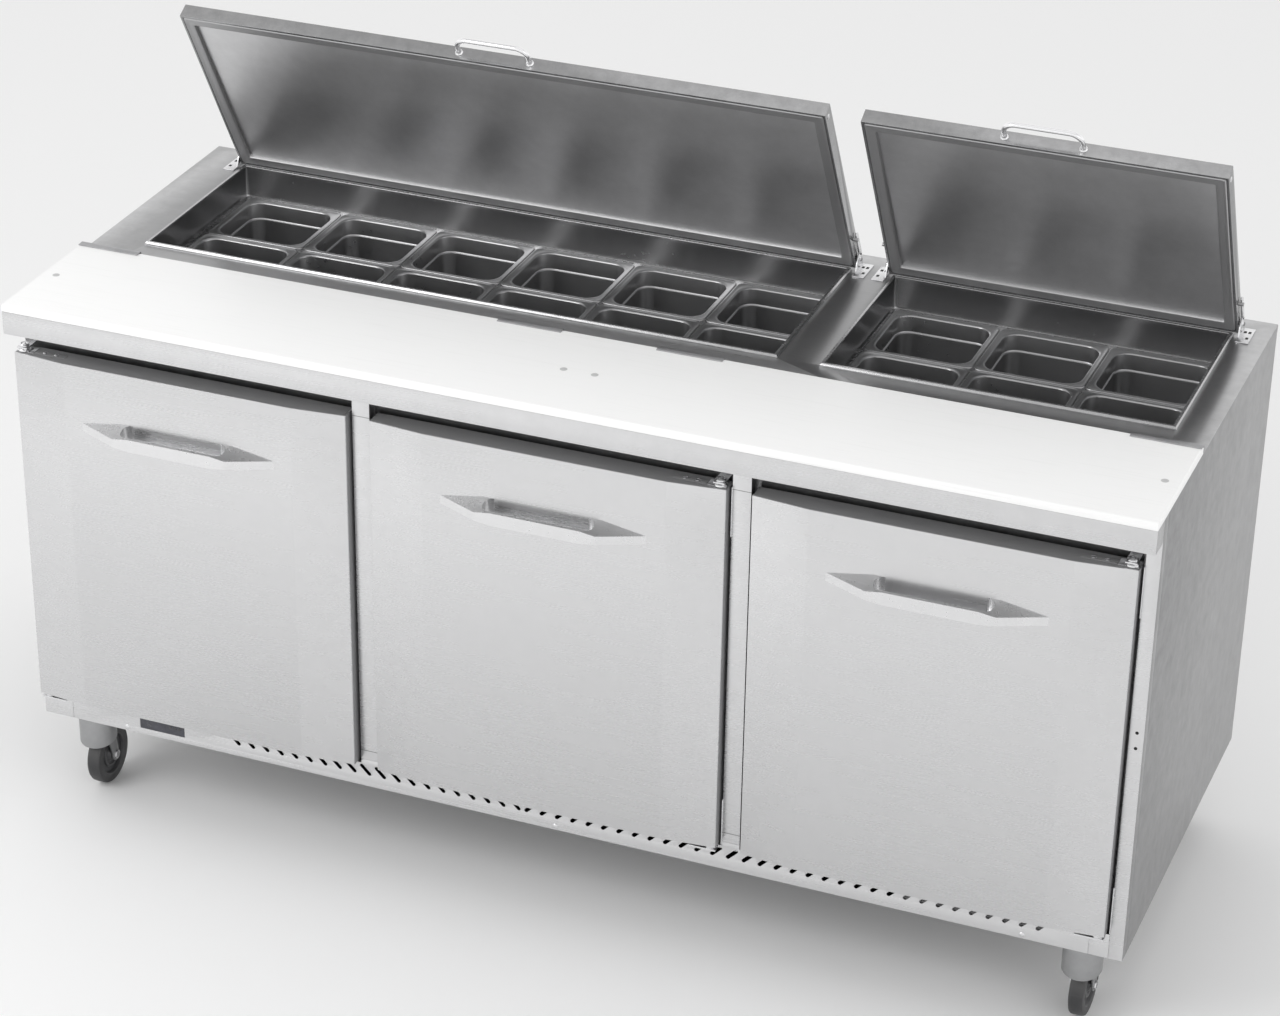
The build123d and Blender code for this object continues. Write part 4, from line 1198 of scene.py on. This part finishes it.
@dataclass
class LidBrackets:
    """Slotted foot, ear with pivot and open-stop arm of each lid hinge."""

    foot: float = 0.020
    thickness: float = 0.0020

    def build(self) -> None:
        """Make the four brackets and hide their CAD stand-ins."""
        count = 0
        for label in ("long", "short"):
            pivot = joint_place(f"lid_{label}_hinge")
            low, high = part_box(f"lid_{label}_liner")
            for side in (-1, 1):
                count += 1
                skirt = (high.x if side > 0 else low.x) + side * 0.0018
                self._bracket(count, skirt, side, pivot)

    def _bracket(self, number: int, skirt: float, side: int, pivot: Vector) -> None:
        """One bracket beside one end skirt."""
        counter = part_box("countertop")[1].z
        inner = skirt + side * 0.002
        x0, x1 = sorted((inner, inner + side * 0.0025))
        parts = []
        front, rear = pivot.y - 0.032, pivot.y + 0.022
        out = sorted((inner, inner + side * self.foot))
        parts.append(slab("foot", (out[0], front, counter), (out[1], rear, counter + self.thickness),
                          0.0006))
        outline = [(front + 0.014, counter), (rear, counter), (rear - 0.004, counter + 0.004),
                   (pivot.y + 0.009, pivot.z + 0.006), (pivot.y + 0.004, pivot.z + 0.010),
                   (pivot.y - 0.004, pivot.z + 0.010), (pivot.y - 0.009, pivot.z + 0.002)]
        parts.append(drawn_plate("ear", outline, x0, x1, 0.0004))
        way = Vector((0, -cos(LID_TILT), sin(LID_TILT)))
        back = Vector((0, sin(LID_TILT), cos(LID_TILT)))
        foot = Vector((0, pivot.y, pivot.z))
        arm = [foot + back * 0.0035, foot + way * 0.056 + back * 0.0035, foot + way * 0.058 + back * 0.007,
               foot + way * 0.054 + back * 0.012, foot + way * 0.010 + back * 0.012, foot + back * 0.010]
        parts.append(drawn_plate("arm", [(p.y, p.z) for p in arm], x0, x1, 0.0004))
        dress(join(parts, f"lid_bracket_{number}"), BRACKET_STEEL, "table",
              ["lid_hinge_brackets"] if number == 1 else ())
        self._details(number, inner, side, pivot, counter)

    def _details(self, number: int, inner: float, side: int, pivot: Vector, counter: float) -> None:
        """Pivot washer and slots."""
        outside = inner + side * 0.0025
        turn = Matrix.Identity(4) if side > 0 else Matrix.Rotation(pi, 4, "Z")
        washer = turned("washer", [(0.0, 0.0022), (0.0026, 0.0021), (0.0034, 0.0014), (0.0034, 0.0008),
                                   (0.0062, 0.0008), (0.0068, 0.0003), (0.0068, -0.0002)],
                        (0, 0, 0), Direction.X, 28)
        washer.matrix_world = Matrix.Translation((outside, pivot.y, pivot.z)) @ turn
        settle(washer, "washer")
        heads = [washer]
        dress(join(heads, f"lid_pivot_cap_{number}"), CHROME, "table")
        # The slots are thin near-black slabs, painted shade where the foot's openings are.
        slots = []
        for dx, dy in ((0.006, 0.006), (0.013, 0.006), (0.013, -0.016)):
            x = outside + side * (dx - 0.0015)
            slots.append(slab("slot", (x - 0.0022, pivot.y + dy - 0.0035, counter + self.thickness - 0.0002),
                              (x + 0.0022, pivot.y + dy + 0.0035, counter + self.thickness + 0.00015), 0.0))
        dress(join(slots, f"lid_bracket_slots_{number}"), PAINTED_SHADE_BLACK, "table")


@dataclass
class Door:
    """One door: skin, dark edge cap, core, gasket, handle, hinge plate and screws."""

    side: str
    hinge_sign: int
    skin_round: float = 0.0008
    cap: float = 0.0006

    def build(self) -> None:
        """Make the door's pieces."""
        body = f"door_{self.side}"
        # The door skin takes the lighter steel colour, painted light on the front.
        dress(refined(f"{body}_panel", f"{body}_skin", self.skin_round, 4, 2), LIT_FRONT_STEEL, body,
              [f"{body}_panel"])
        dress(refined(f"{body}_liner", f"{body}_core", 0.0010), CORE_PLASTIC, body,
              [f"{body}_liner"])
        self._cap(body)
        self._gasket(body)
        self._handle(body)
        self._hinge(body)

    def _cap(self, body: str) -> None:
        """Dark textured end cap that fills the top of the door behind the skin's edge."""
        low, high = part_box(f"{body}_panel")
        inset, facet = 0.0016, 0.0895
        ridge, edge, back = low.y + inset, low.y + 0.009 + inset, high.y - 0.0002
        points = [(low.x + inset, edge), (low.x + facet, ridge), (high.x - facet, ridge),
                  (high.x - inset, edge),
                  (high.x - inset, back), (low.x + inset, back)]
        for label, z in (("top", high.z - 0.0002), ("bottom", low.z - self.cap + 0.0002)):
            piece = trace([(x, y, z) for x, y in points], closed=True)
            bpy.ops.mesh.edge_face_add()
            bpy.ops.mesh.extrude_region_move(TRANSFORM_OT_translate={"value": (0, 0, self.cap)})
            bpy.ops.object.mode_set(mode="OBJECT")
            fix_normals(piece)
            dress(settle(piece, f"{body}_{label}_cap"), CORE_PLASTIC, body)
        for label, x in (("left", low.x - self.cap + 0.0001), ("right", high.x - 0.0001)):
            strip = slab(f"{body}_{label}_cap", (x, edge + 0.0012, low.z + 0.0006),
                         (x + self.cap, back, high.z - 0.0006),
                         0.0002)
            dress(strip, CORE_PLASTIC, body)

    def _gasket(self, body: str) -> None:
        """Bellows gasket: a pressed ring with a soft nose."""
        low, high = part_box(f"{body}_gasket")
        half_x, half_z = (high.x - low.x) / 2 / MM, (high.z - low.z) / 2 / MM
        depth = (high.y - low.y) / MM
        rows = [(0.0, 0.0), (0.0, 0.9), (0.8, 1.5), (0.4, 2.2), (0.6, depth - 0.6), (2.0, depth - 0.1),
                (6.0, depth - 0.1), (10.0, depth - 0.1), (11.4, depth - 0.6), (11.6, 2.2), (11.2, 1.5),
                (12.0, 0.9),
                (12.0, 0.0)]
        levels = [Level(half_x - inset, half_z - inset, 2.5, up) for inset, up in rows]
        ring = pressed_sheet(f"{body}_seal", (0, 0), levels, 0.0007, floor=False, corner_steps=3)
        centre = Vector(((low.x + high.x) / 2, low.y, (low.z + high.z) / 2))
        ring.matrix_world = Matrix.Translation(centre) @ Matrix.Rotation(-pi / 2, 4, "X")
        settle(ring, ring.name)
        dress(ring, GASKET_RUBBER, body, [f"{body}_gasket"])

    def _handle(self, body: str) -> None:
        """Cast wedge handle with a stadium finger recess, from its CAD casting."""
        dress(refined(f"{body}_handle", f"{body}_pull", 0.0004, 12, 1, 14), HANDLE_SILVER, body,
              [f"{body}_handle"])

    def _hinge(self, body: str) -> None:
        """Hinge plate with two screws let into the top of the door, and a bright corner shoe."""
        pivot = joint_place(f"{body}_hinge")
        low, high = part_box(f"{body}_panel")
        top = high.z + self.cap - 0.0002
        inward = -self.hinge_sign
        corner = pivot.x + self.hinge_sign * 0.0108
        shoe_x = sorted((corner, corner + inward * 0.030))
        shoe = slab("shoe", (shoe_x[0], pivot.y - 0.006, top - 0.0001),
                    (shoe_x[1], high.y - 0.0006, top + 0.0012), 0.0003)
        plate_x = sorted((corner + inward * 0.031, corner + inward * 0.084))
        plate = slab("plate", (plate_x[0], pivot.y - 0.0045, top - 0.0001),
                     (plate_x[1], pivot.y + 0.0085, top + 0.0008),
                     0.0003)
        dress(shoe, BRACKET_STEEL, body)
        shoe.name = f"{body}_corner_shoe"
        dress(plate, CORE_PLASTIC, body)
        plate.name = f"{body}_hinge_plate"
        screws = []
        for reach in (0.047, 0.067):
            screws.append(turned("screw", [(0.0, 0.0016), (0.0018, 0.0015), (0.0032, 0.0009), (0.0040, 0.0),
                                           (0.0040, -0.0004)],
                                 (corner + inward * reach, pivot.y + 0.002, top + 0.0008), Direction.Z, 24))
        dress(join(screws, f"{body}_hinge_screws"), CHROME, body)


@dataclass
class DoorBrackets:
    """Fixed hinge hardware: plates with pins, bright bushings and the upright legs beside each door."""

    leg_height: float = 0.082
    leg_thickness: float = 0.0014
    tab: float = 0.018
    door_gap: float = 0.006

    def build(self) -> None:
        """Make the hinge hardware."""
        self._lower_plates()
        rings, legs, tabs = [], [], []
        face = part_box("grille_panel")[0].y
        frame_face = face + 0.022
        for side, sign in (("left", -1), ("middle", 1), ("right", 1)):
            pivot = joint_place(f"door_{side}_hinge")
            low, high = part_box(f"door_{side}_panel")
            for base, width, tall in ((high.z + 0.0012, 0.0104, 0.0046), (high.z + 0.0090, 0.0082, 0.0038)):
                rings.append(turned("ring", [(0.0040, 0.0), (width - 0.0012, 0.0), (width, 0.0010),
                                             (width, tall - 0.0014), (width - 0.0014, tall), (0.0052, tall),
                                             (0.0040, tall - 0.0008), (0.0040, 0.0)],
                                    (pivot.x, pivot.y, base), Direction.Z, 36))
            rings.append(turned("pin", [(0.0, tall), (0.0030, tall - 0.0003), (0.0039, tall - 0.0012),
                                        (0.0039, 0.0)],
                                (pivot.x, pivot.y, base + 0.0002), Direction.Z, 28))
            tabs.append(slab("tab", (pivot.x - self.tab / 2, pivot.y - 0.0085, high.z + 0.0060),
                             (pivot.x + self.tab / 2, frame_face, high.z + 0.0088), 0.0006))
            if side == "left":
                continue
            edge = high.x + self.door_gap
            for z0 in (high.z - self.leg_height, low.z):
                legs.append(slab("leg", (edge - self.leg_thickness, face - 0.0014, z0),
                                 (edge, frame_face, z0 + self.leg_height), 0.0003))
        dress(join(tabs, "hinge_tabs"), BRACKET_STEEL, "table")
        dress(join(rings, "hinge_bushings"), CHROME, "table")
        dress(join(legs, "hinge_legs"), BRACKET_STEEL, "table")

    def _lower_plates(self) -> None:
        """The lower plates are the CAD ones with eased edges; the upper ones give way to narrow tabs."""
        plates = refined("door_hinge_brackets", "hinge_plates", 0.0)
        pick(plates)
        bpy.ops.object.mode_set(mode="EDIT")
        bpy.ops.mesh.select_mode(type="VERT")
        bpy.ops.mesh.select_all(action="DESELECT")
        mesh = bmesh.from_edit_mesh(plates.data)
        for vertex in mesh.verts:
            vertex.select_set(vertex.co.z > 0.5)
        bmesh.update_edit_mesh(plates.data)
        bpy.ops.mesh.delete(type="VERT")
        bpy.ops.object.mode_set(mode="OBJECT")
        soften(plates, 0.0004, 2, 28)
        dress(settle(plates, "hinge_plates", 32), BRACKET_STEEL, "table",
              ["door_hinge_brackets"])


@dataclass
class Controller:
    """Temperature controller: dark window, display glass and three buttons."""

    def build(self) -> None:
        """Make the controller's pieces."""
        low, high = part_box("temperature_controller")
        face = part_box("grille_panel")[0].y
        window = (-0.737, -0.655, 0.165, 0.190)
        recolour("temperature_controller", WINDOW_GLASS)
        x0, x1, z0, z1 = window
        display = slab("controller_display", (x0 + 0.012, face + 0.0001, z0 + 0.006),
                       (x0 + 0.048, face + 0.0006, z1 - 0.005),
                       0.0002)
        dress(display, WINDOW_GLASS, "table")
        buttons = [rod("button", (x0 + 0.056 + 0.008 * n, face + 0.0002, z0 + 0.0125), 0.0024, 0.0008,
                       Direction.Y, 0.0002, 24)
                   for n in range(3)]
        dress(join(buttons, "controller_buttons"), HUB_PLASTIC, "table")


@dataclass
class Caster:
    """One caster: cowled fork, stem, axle with nuts, and a wheel with grooved faces."""

    place: str

    def build(self) -> None:
        """Make the caster's pieces."""
        fork = f"caster_{self.place}_fork"
        wheel = f"caster_{self.place}_wheel"
        dress(refined(fork, f"caster_{self.place}_swivel_fork", 0.0006, 30), ZINC, fork,
              [fork])
        centre = middle_of(wheel)
        half = 0.012
        face = [(0.0051, half - 0.0008), (0.0100, half - 0.0008), (0.0112, half - 0.0022),
                (0.0145, half - 0.0052),
                (0.0180, half - 0.0052), (0.0195, half - 0.0030), (0.0225, half - 0.0030),
                (0.0240, half - 0.0062),
                (0.0330, half - 0.0062), (0.0350, half - 0.0012), (0.0365, half - 0.0004)]
        hub_faces = face + [(r, -h) for r, h in reversed(face)]
        hub = turned(f"caster_{self.place}_hub", hub_faces + [face[0]], centre, Direction.X, 56)
        dress(hub, HUB_PLASTIC, wheel, [wheel])
        tread = [(0.0364, half - 0.0002), (0.0470, half - 0.0002), (0.0494, half - 0.0010),
                 (0.0506, half - 0.0028),
                 (0.0510, half - 0.0055), (0.0510, 0.0)]
        ring = tread + [(r, -h) for r, h in reversed(tread[:-1])] + [tread[0]]
        tyre = turned(f"caster_{self.place}_tyre", ring, centre, Direction.X, 72)
        dress(tyre, TYRE_RUBBER, wheel)
        nuts = []
        for side in (-1, 1):
            nuts.append(rod("nut", (centre[0] + side * 0.0182, centre[1], centre[2]), 0.0078, 0.0034,
                            Direction.X,
                            0.0007, 6))
        dress(join(nuts, f"caster_{self.place}_axle_nuts"), BRACKET_STEEL, fork)


@dataclass
class Inside:
    """Cold cavity, shelves and refrigeration, seen with the doors open or from behind."""

    wire: float = 0.0022
    pitch: float = 0.028

    def build(self) -> None:
        """Make the inner pieces."""
        dress(refined("inner_liner", "cold_liner", 0.0008), LINER_ALUMINIUM, "table",
              ["inner_liner"])
        self._shelves()
        self._units()

    def _shelves(self) -> None:
        """Three wire shelves: round cross wires on stiffer rails."""
        low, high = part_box("wire_shelves")
        spans = [(-0.8525, -0.373), (-0.268, 0.241), (0.346, 0.8525)]
        z = low.z + 0.003
        for index, (x0, x1) in enumerate(spans):
            wires = [rod("rail", ((x0 + x1) / 2, y, z), 0.0034, x1 - x0 - 0.002, Direction.X, 0.0008, 16)
                     for y in (low.y + 0.006, (low.y + high.y) / 2, high.y - 0.006)]
            number = int((x1 - x0 - 0.012) / self.pitch)
            model = rod("wire", (x0 + 0.006, (low.y + high.y) / 2, z + 0.0028), self.wire,
                        high.y - low.y - 0.002,
                        Direction.Y, 0.0006, 10)
            wires.append(model)
            for n in range(1, number + 1):
                wires.append(twin(model, "wire", (n * (x1 - x0 - 0.012) / number, 0, 0)))
            dress(join(wires, f"shelf_{index + 1}"), SHELF_COATING, "table",
                  ["wire_shelves"] if index == 0 else ())

    def _units(self) -> None:
        """Condensing unit and evaporator with their fins and fans."""
        dress(refined("condensing_unit", "condensing_set", 0.0010), UNIT_PAINT, "table",
              ["condensing_unit"])
        dress(refined("evaporator", "evaporator_case", 0.0010), FIN_ALUMINIUM, "table",
              ["evaporator"])
        for node in ("condenser_fan", "evaporator_fan"):
            dress(refined(node, f"{node}_blades", 0.0004), FAN_ALUMINIUM, node, [node])
        low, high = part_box("evaporator")
        fins = []
        model = slab("fin", (low.x + 0.004, low.y + 0.044, low.z + 0.004),
                     (low.x + 0.0044, low.y + 0.0472, high.z - 0.004),
                     0.0)
        fins.append(model)
        for n in range(1, 100):
            fins.append(twin(model, "fin", (n * 0.0051, 0, 0)))
        dress(join(fins, "evaporator_fins"), FIN_ALUMINIUM, "table")


@dataclass
class Studio:
    """Plain pale floor, soft lights and the camera."""

    key_watts: float = 56.0
    fill_watts: float = 12.0
    sky_low: float = 1.22
    sky_high: float = 0.66

    def build(self) -> None:
        """Make the floor, the lights and the camera."""
        deselect()
        bpy.ops.mesh.primitive_plane_add(size=40, location=(0, 6, 0))
        floor = settle(bpy.context.active_object, "studio_floor_plane")
        floor.data.materials.append(FLOOR_PALE.material())
        self._sky()
        self._light("key_softbox", (-2.7, -3.3, 3.4), (-1.6, -1.8, 0.0), self.key_watts, 2.2)
        self._light("top_softbox", (0.6, 0.2, 4.6), (0.0, 0.0, 0.8), self.fill_watts, 3.2)
        self._light("right_softbox", (4.6, -2.0, 2.6), (0.2, 0.0, 0.6), self.fill_watts * 0.6, 2.4)
        self._camera()
        bpy.context.scene.view_settings.view_transform = "Standard"

    def _sky(self) -> None:
        """Soft surroundings, bright at the horizon and darker overhead."""
        world = bpy.data.worlds.new("soft_surround")
        bpy.context.scene.world = world
        world.use_nodes = True
        back = world.node_tree.nodes["Background"]
        back.inputs["Color"].default_value = (1.0, 1.0, 1.0, 1.0)
        nodes, links = world.node_tree.nodes, world.node_tree.links
        way = nodes.new("ShaderNodeTexCoord")
        split = nodes.new("ShaderNodeSeparateXYZ")
        fade = nodes.new("ShaderNodeMapRange")
        fade.inputs["From Min"].default_value = 0.0
        fade.inputs["From Max"].default_value = 1.0
        fade.inputs["To Min"].default_value = self.sky_low
        fade.inputs["To Max"].default_value = self.sky_high
        links.new(way.outputs["Object"], split.inputs[0])
        links.new(split.outputs["Z"], fade.inputs["Value"])
        links.new(fade.outputs["Result"], back.inputs["Strength"])

    @staticmethod
    def _light(name: str, place: Point, aim: Point, watts: float, size: float) -> None:
        """One square soft light aimed at a point."""
        deselect()
        bpy.ops.object.light_add(type="AREA", location=place)
        light = bpy.context.active_object
        light.name = name
        light.data.energy = watts
        light.data.size = size
        light.rotation_euler = (Vector(aim) - Vector(place)).to_track_quat("-Z", "Y").to_euler()

    @staticmethod
    def _camera() -> None:
        """Long-lens camera to the right of the front, looking down on the counter."""
        turn, rise = radians(23.11), radians(29.55)
        deselect()
        bpy.ops.object.camera_add(location=(1.8343, -4.7107, 3.2576))
        camera = bpy.context.active_object
        away = Vector((sin(turn) * cos(rise), -cos(turn) * cos(rise), sin(rise)))
        camera.rotation_euler = (-away).to_track_quat("-Z", "Y").to_euler()
        camera.data.sensor_width = 36.0
        camera.data.lens = 101.42
        camera.data.shift_x = 0.0851
        camera.data.shift_y = 0.0762
        camera.data.dof.use_dof = False
        bpy.context.scene.camera = camera


def main() -> None:
    """Build every sub-assembly in order."""
    logging.basicConfig(level=logging.INFO, format="%(name)s: %(message)s")
    deselect()
    builders: list[object] = [
        Case(), Counter(), FoodPans(), Lid("long"), Lid("short"), LidBrackets(),
        Door("left", -1), Door("middle", 1), Door("right", 1), DoorBrackets(), Controller(),
        Caster("front_left"), Caster("front_right"), Caster("rear_left"), Caster("rear_right"),
        Inside(), Studio(),
    ]
    for builder in builders:
        builder.build()
        log.info("built %s", type(builder).__name__)
    deselect()


if __name__ == "__main__":
    main()
